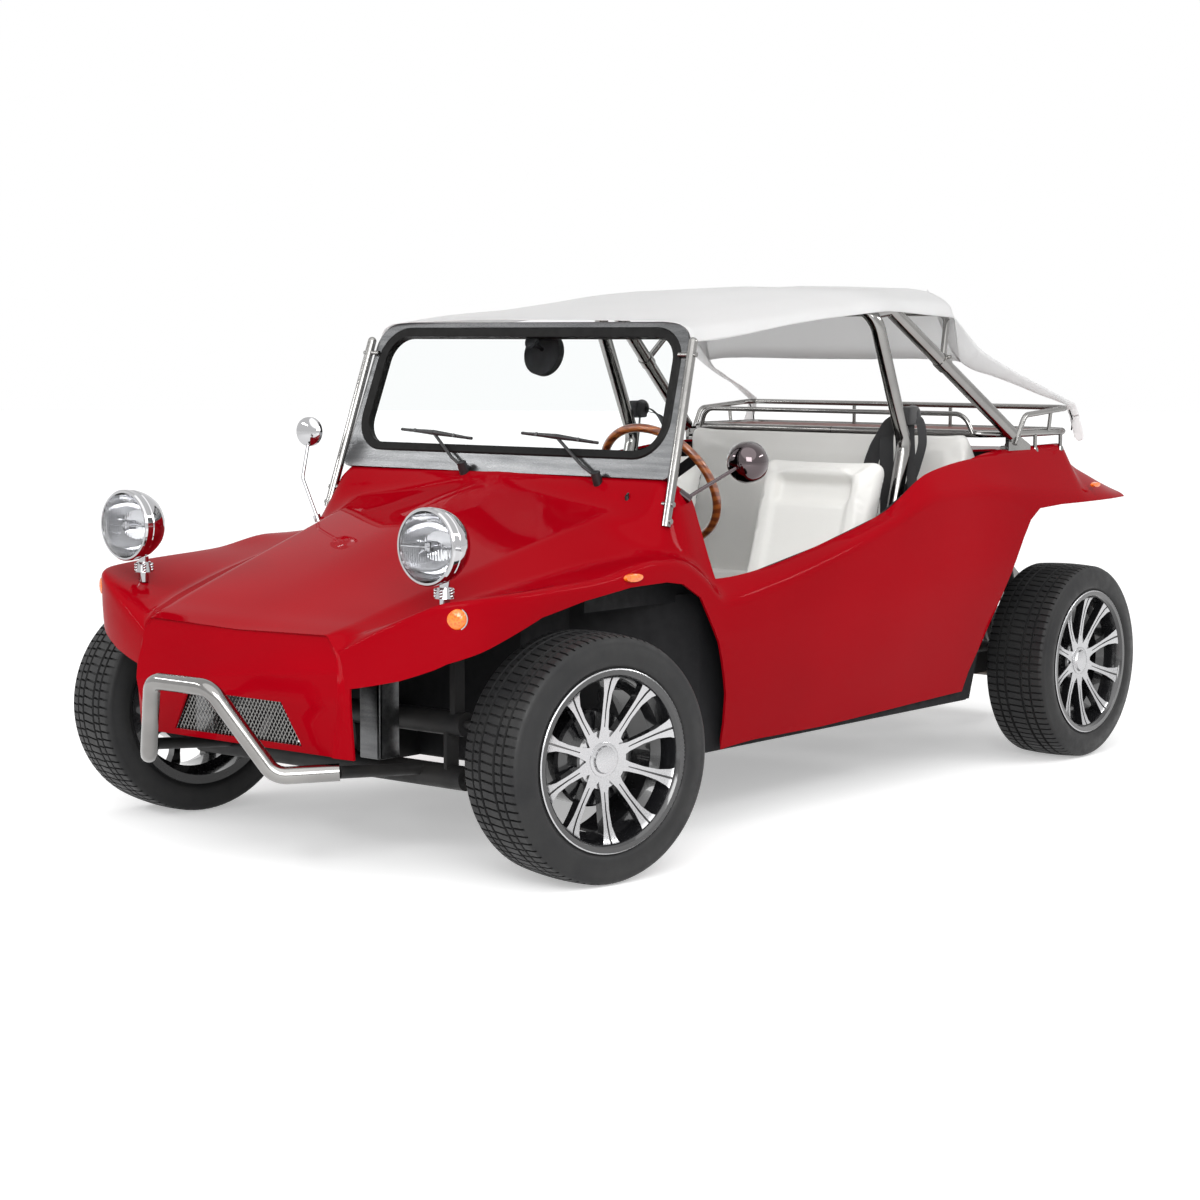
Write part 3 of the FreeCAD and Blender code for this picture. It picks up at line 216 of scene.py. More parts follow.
def in_metres(outline):
    """Outline points given in millimetres."""
    return [(a * MM, b * MM) for a, b in outline]


def both_halves(line):
    """A closed plan from its left half."""
    return list(line) + [(-x, y) for x, y in reversed(line)]


def other_side(bm):
    """Adds the mirrored half across the car's centre plane."""
    copy = bmesh.ops.duplicate(bm, geom=bm.verts[:] + bm.edges[:] + bm.faces[:])["geom"]
    verts = [item for item in copy if isinstance(item, bmesh.types.BMVert)]
    faces = [item for item in copy if isinstance(item, bmesh.types.BMFace)]
    bmesh.ops.scale(bm, vec=(-1, 1, 1), verts=verts)
    bmesh.ops.reverse_faces(bm, faces=faces)


def piece(bm, name, looks, body=CHASSIS, stands_for=(), sharp=35.0, right_way=True):
    """A finished object from a bmesh, riding on its body."""
    if right_way:
        bmesh.ops.recalc_face_normals(bm, faces=bm.faces)
    mesh = bpy.data.meshes.new(name)
    bm.to_mesh(mesh)
    bm.free()
    mesh.polygons.foreach_set("use_smooth", [True] * len(mesh.polygons))
    mesh.set_sharp_from_angle(angle=math.radians(sharp))
    for look in looks if isinstance(looks, list) else [looks]:
        mesh.materials.append(look)
    obj = bpy.data.objects.new(name, mesh)
    bpy.context.scene.collection.objects.link(obj)
    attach(obj, body)
    if stands_for:
        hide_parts(*stands_for)
    return obj


def settle(obj):
    """Applies the modifiers of an object to its mesh."""
    bpy.context.view_layer.update()
    done = bpy.data.meshes.new_from_object(obj.evaluated_get(bpy.context.evaluated_depsgraph_get()))
    old = obj.data
    obj.modifiers.clear()
    obj.data = done
    done.name = old.name
    bpy.data.meshes.remove(old)


def carve(obj, cutters):
    """Cuts closed bmesh shapes out of an object."""
    makers = []
    for number, cutter in enumerate(cutters):
        bmesh.ops.recalc_face_normals(cutter, faces=cutter.faces)
        mesh = bpy.data.meshes.new("cutter")
        cutter.to_mesh(mesh)
        cutter.free()
        maker = bpy.data.objects.new("cutter", mesh)
        bpy.context.scene.collection.objects.link(maker)
        cut = obj.modifiers.new(f"cut {number}", "BOOLEAN")
        cut.operation, cut.solver, cut.object = "DIFFERENCE", "EXACT", maker
        makers.append(maker)
    settle(obj)
    for maker in makers:
        mesh = maker.data
        bpy.data.objects.remove(maker)
        bpy.data.meshes.remove(mesh)


def smooth_again(obj, sharp):
    obj.data.polygons.foreach_set("use_smooth", [True] * len(obj.data.polygons))
    obj.data.set_sharp_from_angle(angle=math.radians(sharp))


# Finishes
FINISHES = {}
CANOPY_SHEER = 0.5
NOISE_ROUGH = 0.55
WEAR_BAND = (0.3, 0.7)

# Places of the colour sockets of a Mix node
MIX_A, MIX_B, MIX_RESULT = 6, 7, 2


def finish(key):
    return FINISHES[key].material


def darker(colour, share):
    return tuple(channel * share for channel in colour)


def set_range(node, low, high, to_low, to_high):
    """Sets the four limits of a Map Range node."""
    for socket, number in zip(("From Min", "From Max", "To Min", "To Max"), (low, high, to_low, to_high)):
        node.inputs[socket].default_value = number


class Finish:
    """A material whose pattern is read in object coordinates, kept by its key."""

    def __init__(self, key, name, colour, rough, metal=0.0, **sockets):
        FINISHES[key] = self
        self.material = bpy.data.materials.new(name)
        self.material.use_nodes = True
        self.tree = self.material.node_tree
        self.shader = self.tree.nodes["Principled BSDF"]
        self.colour = colour
        self.set("Base Color", (*colour, 1))
        self.set("Roughness", rough)
        self.set("Metallic", metal)
        for socket, value in sockets.items():
            self.set(socket.replace("_", " "), value)
        self.place = self.tree.nodes.new("ShaderNodeTexCoord").outputs["Object"]

    def set(self, socket, value):
        self.shader.inputs[socket].default_value = value

    def link(self, source, target):
        self.tree.links.new(source, target)

    def stretched(self, stretch):
        node = self.tree.nodes.new("ShaderNodeMapping")
        node.inputs["Scale"].default_value = stretch
        self.link(self.place, node.inputs["Vector"])
        return node.outputs["Vector"]

    def noise(self, scale, detail=3.0, stretch=None):
        node = self.tree.nodes.new("ShaderNodeTexNoise")
        node.inputs["Scale"].default_value = scale
        node.inputs["Detail"].default_value = detail
        node.inputs["Roughness"].default_value = NOISE_ROUGH
        self.link(self.stretched(stretch) if stretch else self.place, node.inputs["Vector"])
        return node.outputs["Fac"]

    def cells(self, scale):
        node = self.tree.nodes.new("ShaderNodeTexVoronoi")
        node.inputs["Scale"].default_value = scale
        self.link(self.place, node.inputs["Vector"])
        return node.outputs["Distance"]

    def waves(self, scale, direction, distortion=0.0):
        node = self.tree.nodes.new("ShaderNodeTexWave")
        node.bands_direction = direction
        node.inputs["Scale"].default_value = scale
        node.inputs["Distortion"].default_value = distortion
        self.link(self.place, node.inputs["Vector"])
        return node.outputs["Fac"]

    def spread(self, value, low, high, to_low, to_high):
        node = self.tree.nodes.new("ShaderNodeMapRange")
        set_range(node, low, high, to_low, to_high)
        self.link(value, node.inputs["Value"])
        return node.outputs["Result"]

    def tint(self, value, other, low=WEAR_BAND[0], high=WEAR_BAND[1]):
        """Blends the base colour towards another one by a pattern."""
        node = self.tree.nodes.new("ShaderNodeMix")
        node.data_type = "RGBA"
        self.link(self.spread(value, low, high, 0, 1), node.inputs["Factor"])
        node.inputs[MIX_A].default_value = (*self.colour, 1)
        node.inputs[MIX_B].default_value = (*other, 1)
        self.link(node.outputs[MIX_RESULT], self.shader.inputs["Base Color"])
        return self

    def wear(self, value, low, high):
        """Spreads the roughness between two values by a pattern."""
        self.link(self.spread(value, *WEAR_BAND, low, high), self.shader.inputs["Roughness"])
        return self

    def bump(self, value, distance, strength=1.0):
        node = self.tree.nodes.new("ShaderNodeBump")
        node.inputs["Strength"].default_value = strength
        node.inputs["Distance"].default_value = distance
        self.link(value, node.inputs["Height"])
        old = self.shader.inputs["Normal"]
        if old.is_linked:
            self.link(old.links[0].from_socket, node.inputs["Normal"])
        self.link(node.outputs["Normal"], old)
        return self


def make_paint(paint):
    red = Finish("red", "Red gelcoat", paint.red, 0.42, Specular_IOR_Level=0.0, Coat_Weight=0.4,
                 Coat_Roughness=paint.gloss, Coat_IOR=1.16)
    red.tint(red.noise(1.3, 2), darker(paint.red, 0.86), 0.35, 0.65)
    red.wear(red.noise(9.0, 4), 0.36, 0.48).bump(red.noise(140.0, 2), 0.00003, 0.4)


def make_blacks():
    lining = Finish("black", "Black lining", (0.010, 0.010, 0.011), 0.7, Specular_IOR_Level=0.15)
    lining.wear(lining.noise(30.0), 0.5, 0.75).bump(lining.noise(420.0, 4), 0.0004)
    chassis = Finish("chassis", "Chassis black", (0.014, 0.014, 0.015), 0.42, Specular_IOR_Level=0.2)
    chassis.tint(chassis.noise(14.0, 5), (0.022, 0.021, 0.020))
    chassis.wear(chassis.noise(22.0, 4), 0.35, 0.6).bump(chassis.noise(260.0, 3), 0.0002)
    seal = Finish("seal", "Seal rubber", (0.005, 0.005, 0.005), 0.5, Specular_IOR_Level=0.15)
    seal.wear(seal.noise(60.0), 0.42, 0.62).bump(seal.noise(500.0, 2), 0.0002)
    tyre = Finish("tyre", "Tyre rubber", (0.014, 0.014, 0.015), 0.44, Specular_IOR_Level=0.25)
    tyre.tint(tyre.noise(10.0, 5), (0.023, 0.023, 0.023)).wear(tyre.noise(35.0, 4), 0.42, 0.6)
    tyre.bump(tyre.noise(700.0, 3), 0.0002)
    alloy = Finish("alloy_black", "Gloss black alloy", (0.008, 0.008, 0.009), 0.22, Coat_Weight=1.0)
    alloy.wear(alloy.noise(30.0, 3), 0.16, 0.3)
    steel = Finish("steel", "Black steel", (0.014, 0.014, 0.015), 0.36)
    steel.wear(steel.noise(40.0, 4), 0.28, 0.46).bump(steel.noise(400.0, 2), 0.00008)


def make_metals():
    stainless = Finish("stainless", "Polished stainless", (0.31, 0.305, 0.295), 0.16, 1.0)
    stainless.tint(stainless.noise(5.0, 3), (0.22, 0.215, 0.21)).wear(stainless.noise(60.0, 5), 0.08, 0.2)
    silver = Finish("silver", "Anodised silver", (0.17, 0.172, 0.175), 0.40, 1.0)
    silver.tint(silver.noise(4.0, 4, stretch=(1, 14, 14)), (0.09, 0.092, 0.095))
    silver.wear(silver.noise(90.0, 3, stretch=(1, 30, 30)), 0.24, 0.36)
    silver.bump(silver.noise(400.0, 2, stretch=(0.1, 3, 3)), 0.00004)
    chrome = Finish("chrome", "Chrome", (0.48, 0.48, 0.49), 0.05, 1.0)
    chrome.wear(chrome.noise(40.0, 4), 0.03, 0.08)
    dark_chrome = Finish("dark_chrome", "Black chrome", (0.07, 0.05, 0.055), 0.06, 1.0, Coat_Weight=1.0)
    dark_chrome.wear(dark_chrome.noise(40.0, 3), 0.05, 0.1)
    machined = Finish("machined", "Machined alloy", (0.50, 0.50, 0.51), 0.26, 1.0)
    machined.wear(machined.noise(220.0, 3), 0.2, 0.34).bump(machined.noise(900.0, 2), 0.00003)
    cast = Finish("cast", "Cast alloy", (0.34, 0.34, 0.34), 0.5, 0.9)
    cast.tint(cast.noise(24.0, 5), (0.22, 0.21, 0.2))
    cast.wear(cast.noise(30.0, 5), 0.4, 0.68).bump(cast.noise(330.0, 5), 0.0008)
    soot = Finish("soot", "Heat-stained steel", (0.06, 0.055, 0.05), 0.5, 0.8)
    soot.tint(soot.noise(12.0, 5), (0.13, 0.09, 0.06)).wear(soot.noise(30.0, 4), 0.36, 0.66)


def make_glass():
    screen = Finish("glass", "Clear screen glass", (0.96, 0.98, 0.98), 0.0, Transmission_Weight=1.0, IOR=1.02)
    screen.bump(screen.noise(3.0, 1), 0.00001, 0.2)
    fluted = Finish("lamp_glass", "Lamp glass", (0.98, 0.99, 1.0), 0.01, Transmission_Weight=1.0, IOR=1.30)
    fluted.bump(fluted.waves(42.0, "X"), 0.0004, 0.5)
    amber = Finish("amber", "Amber lens", (0.78, 0.085, 0.004), 0.12, Coat_Weight=0.6)
    amber.tint(amber.cells(160.0), (0.90, 0.20, 0.010), 0.1, 0.6).bump(amber.cells(160.0), 0.0006)
    red_lens = Finish("red_lens", "Red lens", (0.42, 0.004, 0.006), 0.12, Coat_Weight=0.6)
    red_lens.tint(red_lens.cells(150.0), (0.55, 0.02, 0.02), 0.1, 0.6)
    red_lens.bump(red_lens.cells(150.0), 0.0006)


def make_vinyls(trim):
    vinyl = Finish("vinyl", "White seat vinyl", trim.vinyl, 0.46, Sheen_Weight=0.08, Specular_IOR_Level=0.4)
    vinyl.tint(vinyl.noise(2.2, 4), darker(trim.vinyl, 0.93)).wear(vinyl.noise(26.0, 3), 0.40, 0.56)
    vinyl.bump(vinyl.cells(520.0), 0.00035, 0.7).bump(vinyl.noise(9.0, 2), 0.0015, 0.4)
    back = Finish("back_vinyl", "Dark seat back", (0.055, 0.052, 0.055), 0.5)
    back.tint(back.noise(6.0, 3), (0.04, 0.038, 0.04)).bump(back.cells(520.0), 0.00035, 0.7)
    cloth = Finish("cloth", "Canopy vinyl", trim.canopy, 0.55, Sheen_Weight=0.15)
    cloth.tint(cloth.noise(1.6, 4), darker(trim.canopy, 0.93)).wear(cloth.noise(30.0, 3), 0.48, 0.64)
    cloth.bump(cloth.waves(420.0, "X"), 0.00015, 0.4).bump(cloth.waves(420.0, "Y"), 0.00015, 0.4)
    cloth.bump(cloth.noise(7.0, 3, stretch=(1, 2.2, 1)), 0.004, 0.35)
    through = cloth.tree.nodes.new("ShaderNodeBsdfTranslucent")
    through.inputs["Color"].default_value = (*trim.canopy, 1)
    both = cloth.tree.nodes.new("ShaderNodeMixShader")
    both.inputs["Fac"].default_value = CANOPY_SHEER
    cloth.link(cloth.shader.outputs["BSDF"], both.inputs[1])
    cloth.link(through.outputs["BSDF"], both.inputs[2])
    cloth.link(both.outputs["Shader"], cloth.tree.nodes["Material Output"].inputs["Surface"])


def make_webbing_and_wood():
    webbing = Finish("webbing", "Belt webbing", (0.012, 0.012, 0.013), 0.7, Sheen_Weight=0.3)
    webbing.tint(webbing.waves(180.0, "Z"), (0.03, 0.03, 0.032)).bump(webbing.waves(180.0, "Z"), 0.0004)
    webbing.bump(webbing.waves(260.0, "X"), 0.0003)
    slat = Finish("slat", "Dark slat wood", (0.07, 0.02, 0.012), 0.5)
    slat.tint(slat.noise(18.0, 5, stretch=(1, 14, 14)), (0.16, 0.035, 0.025))
    slat.wear(slat.noise(40.0), 0.42, 0.6).bump(slat.noise(60.0, 4, stretch=(1, 16, 16)), 0.0004)
    rim = Finish("rim_wood", "Varnished rim wood", (0.32, 0.09, 0.02), 0.3, Coat_Weight=0.8,
                 Coat_Roughness=0.08)
    rim.tint(rim.waves(14.0, "Z", 6.0), (0.16, 0.035, 0.01)).bump(rim.noise(120.0, 3), 0.0001)


def make_finishes(scene):
    make_paint(scene.buggy_paint)
    make_blacks()
    make_metals()
    make_glass()
    make_vinyls(scene.buggy_trim)
    make_webbing_and_wood()


# The solids that stay as they are and get only a finish
KEPT_NODES = {
    "cockpit_tub": "black", "front_axle": "chassis", "windscreen_frame": "silver",
    "windscreen_glass": "glass", "seat_frames": "chassis", "dashboard": "black", "levers": "steel",
    "steering_column": "steel", "gearbox": "cast", "rear_suspension": "chassis", "engine": "cast",
    "exhaust": "soot", "knuckle_left": "chassis", "knuckle_right": "chassis", "interior_mirror": "black",
}
WELD_REACH = 1e-5
SMOOTH_ANGLE = 32.0


def dress(node, key):
    """Gives a carried-over solid its finish and smooth shading across its curved faces."""
    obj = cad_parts[node]
    obj.data.materials.clear()
    obj.data.materials.append(finish(key))
    obj.data.polygons.foreach_set("use_smooth", [True] * len(obj.data.polygons))
    weld = obj.modifiers.new("weld", "WELD")
    weld.merge_threshold = WELD_REACH
    split = obj.modifiers.new("split", "EDGE_SPLIT")
    split.split_angle = math.radians(SMOOTH_ANGLE)


class BUGGY_OT_dress(bpy.types.Operator):
    """Make the finishes and give them to the carried-over solids"""
    bl_idname = "buggy.dress"
    bl_label = "Dress solids"

    def execute(self, context):
        make_finishes(context.scene)
        for node, key in KEPT_NODES.items():
            dress(node, key)
        return {"FINISHED"}


# Body shell, in millimetres: each station is its place along the car and the corners of its half section
BODY_STATIONS = (
    (-1650, (330, 307), (372, 447), (350, 545), (335, 575), (325, 588), (315, 600), (0, 592)),
    (-1610, (450, 300), (505, 530), (515, 645), (372, 600), (345, 606), (322, 612), (0, 608)),
    (-1560, (560, 290), (612, 556), (616, 692), (398, 612), (362, 618), (328, 625), (0, 625)),
    (-1480, (640, 270), (668, 583), (668, 701), (430, 630), (380, 640), (340, 650), (0, 654)),
    (-1300, (680, 250), (700, 640), (698, 709), (470, 670), (410, 688), (368, 702), (0, 720)),
    (-1100, (680, 235), (706, 650), (700, 719), (510, 706), (450, 735), (398, 758), (0, 793)),
    (-900, (670, 226), (706, 620), (700, 748), (560, 738), (490, 780), (428, 815), (0, 864)),
    (-820, (664, 225), (706, 580), (699, 744), (612, 756), (520, 798), (440, 838), (0, 894)),
    (-760, (658, 225), (706, 550), (697, 730), (632, 750), (580, 850), (452, 862), (0, 915)),
    (-690, (654, 225), (706, 520), (696, 690), (646, 728), (578, 936), (455, 937), (0, 939)),
    (-600, (652, 226), (705, 480), (699, 625), (652, 672), (575, 900), (450, 915), (0, 925)),
    (-400, (650, 229), (703, 450), (700, 650), (652, 692), (600, 700), (450, 700), (0, 700)),
    (-100, (650, 235), (701, 450), (700, 712), (650, 742), (600, 750), (450, 750), (0, 750)),
    (200, (650, 243), (700, 470), (698, 790), (648, 808), (600, 820), (450, 820), (0, 820)),
    (450, (650, 250), (697, 520), (694, 850), (642, 915), (600, 930), (450, 930), (0, 930)),
    (700, (650, 256), (694, 560), (688, 853), (632, 948), (590, 952), (450, 950), (0, 945)),
    (1000, (650, 262), (696, 700), (688, 830), (618, 964), (560, 962), (450, 955), (0, 950)),
    (1290, (650, 270), (690, 770), (682, 812), (604, 972), (545, 965), (440, 955), (0, 950)),
    (1330, (650, 270), (688, 772), (680, 808), (598, 925), (540, 918), (440, 908), (0, 905)),
    (1500, (640, 270), (672, 775), (664, 800), (590, 862), (530, 858), (430, 850), (0, 848)),
    (1650, (620, 270), (645, 772), (636, 796), (575, 818), (515, 815), (420, 808), (0, 805)),
)
BODY_EASE = (120, 22, 22, 40, 14)
FRONT_ARCH = (
    (-1690, 447), (-1610, 500), (-1560, 545), (-1462, 585), (-1330, 640), (-1180, 668), (-1000, 688),
    (-860, 690), (-790, 680), (-715, 640), (-640, 521), (-585, 380), (-570, 300), (-563, 190), (-1690, 190),
)
REAR_ARCH = (
    (625, 190), (641, 265), (660, 313), (760, 470), (853, 600), (915, 700), (955, 750), (1011, 782),
    (1146, 788), (1710, 788), (1710, 190),
)
# Black sheet inside each front arch, in millimetres: painted shade that darkens the arch where the chassis
# behind would show lit
ARCH_SHADE_SHEET = ((-1060, 622), (-588, 622), (-588, 742), (-820, 742), (-900, 726), (-1060, 698))
COCKPIT = (
    (-560, -630), (-570, -600), (-652, -590), (-652, -400), (-650, -100), (-648, 200), (-642, 450),
    (-632, 700), (-600, 900), (-560, 960),
)
NOSE_LINE = ((307, -1655), (442, -1668), (598, -1650))
NOSE_ROUND = ((-3, 0.006), (-6, 0.014), (-8, 0.026))
NOSE_MIDDLE = 450
GRILLE = ((-226, 326), (226, 326), (165, 428), (-165, 428))
ROW_PITCH = 24.0
CORNER_STEPS = 6
STRAIGHT_STEPS = 4
EASE_SHARE = 0.45

# How far the body's cutters reach, in metres
ARCH_CUT = (0.376, 0.9)
COCKPIT_CUT = (0.15, 1.2)
BELLY_CUT = ((-0.9, -1.62, 0.15), (0.9, -0.80, 0.44))
GRILLE_CUT = (-1.75, -1.60)
# Across-car place of the black sheets in the front arches, which are painted shade
SHADE_SHEET_WALL = (0.597, 0.601)
BODY_SHARP = 38.0


def slopes(places, values):
    """End slopes that keep a curve through the values free of overshoot."""
    runs = [(b - a) / (q - p) for p, q, a, b in zip(places, places[1:], values, values[1:])]
    inner = [0 if a * b <= 0 else 2 * a * b / (a + b) for a, b in zip(runs, runs[1:])]
    return [runs[0]] + inner + [runs[-1]]


def follow(places, values, tilt, at):
    """The curve's value at a place between the first and the last one."""
    index = max(i for i in range(len(places) - 1) if places[i] <= at or i == 0)
    width = places[index + 1] - places[index]
    t = (at - places[index]) / width
    a, b = values[index], values[index + 1]
    return ((1 + 2 * t) * (1 - t) ** 2 * a + t * (1 - t) ** 2 * width * tilt[index]
            + t * t * (3 - 2 * t) * b + t * t * (t - 1) * width * tilt[index + 1])


def section_samples(corners, ease):
    """The same number of points on every section, close at its corners."""
    points = [Vector(c) for c in corners]
    anchors = []
    for index, point in enumerate(points):
        if 0 < index < len(points) - 1:
            runs = (points[index - 1] - point, points[index + 1] - point)
            arrive, leave = (point + run.normalized() * min(ease[index - 1], run.length * EASE_SHARE)
                             for run in runs)
            anchors.append((arrive, point, leave))
        else:
            anchors.append((point, point, point))
    line = [points[0]]
    for (_, _, leave), (arrive, corner, away) in zip(anchors, anchors[1:]):
        line += [leave.lerp(arrive, i / STRAIGHT_STEPS) for i in range(1, STRAIGHT_STEPS)]
        line.append(arrive)
        if away != arrive:
            for step in range(1, CORNER_STEPS + 1):
                share = step / CORNER_STEPS
                line.append(arrive * (1 - share) ** 2 + corner * 2 * share * (1 - share) + away * share ** 2)
    return line


def rows_between(places, pitch):
    """Places no further apart than the pitch, the given ones among them."""
    rows = []
    for low, high in zip(places, places[1:]):
        count = max(1, math.ceil((high - low) / pitch))
        rows += [low + (high - low) * i / count for i in range(count)]
    return rows + [places[-1]]


def lofted(stations, ease, pitch, extra=None):
    """A grid whose rows are the mirrored sections, smooth from station to station."""
    places = [station[0] for station in stations]
    halves = [section_samples(station[1:], ease) for station in stations]
    count = len(halves[0])
    curves = []
    for index in range(count):
        for axis in (0, 1):
            values = [half[index][axis] for half in halves]
            curves.append((values, slopes(places, values)))
    lines = []
    for row in rows_between(places, pitch):
        numbers = [follow(places, *curve, row) for curve in curves]
        lines.append((row, list(zip(numbers[::2], numbers[1::2]))))
    if extra:
        lines = extra(lines[0]) + lines
    columns = 2 * count - 1
    bm = bmesh.new()
    bmesh.ops.create_grid(bm, x_segments=columns - 1, y_segments=len(lines) - 1, size=1)
    ordered = sorted(bm.verts, key=lambda vert: (round(vert.co.y, 5), vert.co.x))
    for number, vert in enumerate(ordered):
        row, column = divmod(number, columns)
        y, half = lines[row]
        side = -1 if column < count else 1
        x, z = half[column if column < count else columns - 1 - column]
        vert.co = Vector((side * x, y, z)) * MM
    return bm, ordered[:columns]


def nose_rows(first):
    """Short rows that round the body over into the flat nose."""
    y, half = first
    return [(y + step, [(x * (1 - shrink), z + (NOSE_MIDDLE - z) * shrink) for x, z in half])
            for step, shrink in reversed(NOSE_ROUND)]


def nose_depth(z):
    """How far forward the creased nose stands at a height."""
    (z0, y0), (z1, y1), (z2, y2) = NOSE_LINE
    if z <= z1:
        return y0 + (y1 - y0) * (z - z0) / (z1 - z0)
    return y1 + (y2 - y1) * (z - z1) / (z2 - z1)


def body_skin():
    """The lofted outer skin, with its nose closed and creased."""
    bm, front = lofted(BODY_STATIONS, BODY_EASE, ROW_PITCH, nose_rows)
    cap = bm.faces.new(front)
    crease = Vector((0, 0, NOSE_LINE[1][0] * MM))
    bmesh.ops.bisect_plane(bm, geom=[cap, *cap.verts, *cap.edges], plane_co=crease, plane_no=UP)
    limit = (BODY_STATIONS[0][0] + NOSE_ROUND[-1][0] + 0.5) * MM
    for vert in bm.verts:
        if vert.co.y < limit:
            vert.co.y = nose_depth(vert.co.z / MM) * MM
    bmesh.ops.recalc_face_normals(bm, faces=bm.faces)
    top = max(bm.faces, key=lambda face: face.calc_center_median().z)
    if top.normal.z < 0:
        bmesh.ops.reverse_faces(bm, faces=bm.faces)
    return bm


def outline_block(outline, axis, low, high):
    """A block of its own from an outline in millimetres."""
    bm = bmesh.new()
    prism(bm, in_metres(outline), axis, low, high)
    return bm


def body_cutters():
    """Cutters for the four arches, the cockpit, the open belly and the grille."""
    near, far = ARCH_CUT
    cutters = [outline_block(arch, "x", side * near, side * far)
               for side in (1, -1) for arch in (FRONT_ARCH, REAR_ARCH)]
    cutters.append(outline_block(both_halves(COCKPIT), "z", *COCKPIT_CUT))
    belly = bmesh.new()
    block(belly, *BELLY_CUT)
    return cutters + [belly, outline_block(GRILLE, "y", *GRILLE_CUT)]


class BUGGY_OT_body(bpy.types.Operator):
    """Loft the body, close its nose, and cut the arches, cockpit and grille"""
    bl_idname = "buggy.body"
    bl_label = "Body shell"

    def execute(self, context):
        body = piece(body_skin(), "body_paint", [finish("red"), finish("black")],
                     stands_for=("body_shell",), right_way=False)
        wall = body.modifiers.new("wall", "SOLIDIFY")
        wall.thickness, wall.offset, wall.use_even_offset = context.scene.buggy_paint.wall, -1, True
        wall.material_offset = 1
        settle(body)
        carve(body, body_cutters())
        smooth_again(body, BODY_SHARP)
        # The black sheets in the front arches are painted shade, standing where the arch is only dark
        shade_sheets = outline_block(ARCH_SHADE_SHEET, "x", *SHADE_SHEET_WALL)
        other_side(shade_sheets)
        piece(shade_sheets, "arch_shade_sheets", finish("black"))
        return {"FINISHED"}


# Floor pan: outlines in millimetres, the rest in metres
PAN_PLAN = ((414, -1090), (414, -900), (556, -758), (627, -640), (627, 700))
PAN_SHEET = (0.221, 0.225)
TUNNEL = ((-75, 221), (75, 221), (63, 325), (43, 345), (-43, 345), (-63, 325))
TUNNEL_RUN = (-1.3147, 0.700)
BEADS = (0.16, 0.25, 0.34)
BEAD_HALF = (0.012, 0.640)
BEAD_HEIGHT = (0.2175, 0.2215)
RAIL_PLACE = 0.458
RAIL_HALF = (0.018, 0.700)
RAIL_HEIGHT = (0.198, 0.2212)
BRACKETS = (-0.480, 0.060, 0.600)
BRACKET_PLACE = 0.585
BRACKET_SIZE = (0.022, 0.060)
BRACKET_HEIGHT = (0.2220, 0.2262)


def floor_strip(bm, x, half, height, bevel):
    """A long strip under the floor, half being its half width and half length."""
    block(bm, (x - half[0], -half[1], height[0]), (x + half[0], half[1], height[1]), bevel)


class BUGGY_OT_floor(bpy.types.Operator):
    """Sheet floor pan with its tunnel, pressed beads, rails and body brackets"""
    bl_idname = "buggy.floor"
    bl_label = "Floor pan"

    def execute(self, context):
        bm = outline_block(both_halves(PAN_PLAN), "z", *PAN_SHEET)
        prism(bm, in_metres(TUNNEL), "y", *TUNNEL_RUN)
        for side in (-1, 1):
            for x in BEADS:
                floor_strip(bm, side * x, BEAD_HALF, BEAD_HEIGHT, 0.0015)
            floor_strip(bm, side * RAIL_PLACE, RAIL_HALF, RAIL_HEIGHT, 0.003)
            for y in BRACKETS:
                x, (half, run), (low, high) = side * BRACKET_PLACE, BRACKET_SIZE, BRACKET_HEIGHT
                block(bm, (x - half, y, low), (x + half, y + run, high), 0.001)
        piece(bm, "floor_sheet", finish("chassis"), stands_for=("floor_pan",))
        return {"FINISHED"}


# Grille, in metres: the mesh fills a trapezium, half wide at its foot and its top
MESH_CELL = (0.0125, 0.0090)
MESH_WIRE = 0.0015
MESH_HALF = (0.250, 0.062)
MESH_HEIGHT = 0.102
MESH_WIDTHS = (0.226, 0.165)
MESH_BORDER = (0.006, 0.056)
STRAND_SIZE = (1.2, 1.06)
GRILLE_RIM = ((-236, 320), (236, 320), (173, 434), (-173, 434))
GRILLE_LEAN = math.atan2(13, 135)
GRILLE_GAP = 0.0035
SKIN = 6


def mesh_strands():
    """End points of the strands of an upright diamond mesh about the origin."""
    bm = bmesh.new()
    wide, high = MESH_HALF
    columns, rows = round(wide * 2 / MESH_CELL[0]), round(high * 2 / MESH_CELL[1])
    bmesh.ops.create_grid(bm, x_segments=columns, y_segments=rows, size=1)
    for vert in bm.verts:
        column, row = round((vert.co.x + 1) / 2 * columns), round((vert.co.y + 1) / 2 * rows)
        shift = 0.5 if row % 2 else 0.0
        vert.co = Vector(((column + shift) * MESH_CELL[0] - wide, 0, row * MESH_CELL[1] - high))
    level = [edge for edge in bm.edges if abs(edge.verts[0].co.z - edge.verts[1].co.z) < 1e-4]
    bmesh.ops.delete(bm, geom=level, context="EDGES")
    verts = {(round((vert.co.x + wide) / MESH_CELL[0] * 2), round((vert.co.z + high) / MESH_CELL[1])): vert
             for vert in bm.verts}
    for (column, row), vert in verts.items():
        for side in (-1, 1):
            other = verts.get((column + side, row + 1))
            if other and not bm.edges.get((vert, other)):
                bm.edges.new((vert, other))
    strands = [tuple(vert.co.copy() for vert in edge.verts) for edge in bm.edges]
    bm.free()
    return strands


def in_grille(a, b):
    """Tells whether a strand lies in the grille's trapezium."""
    x, z = (a.x + b.x) / 2, (a.z + b.z) / 2
    foot, top = MESH_WIDTHS
    half = foot + (top - foot) * (z + MESH_HEIGHT / 2) / MESH_HEIGHT
    return abs(x) <= half + MESH_BORDER[0] and abs(z) <= MESH_BORDER[1]


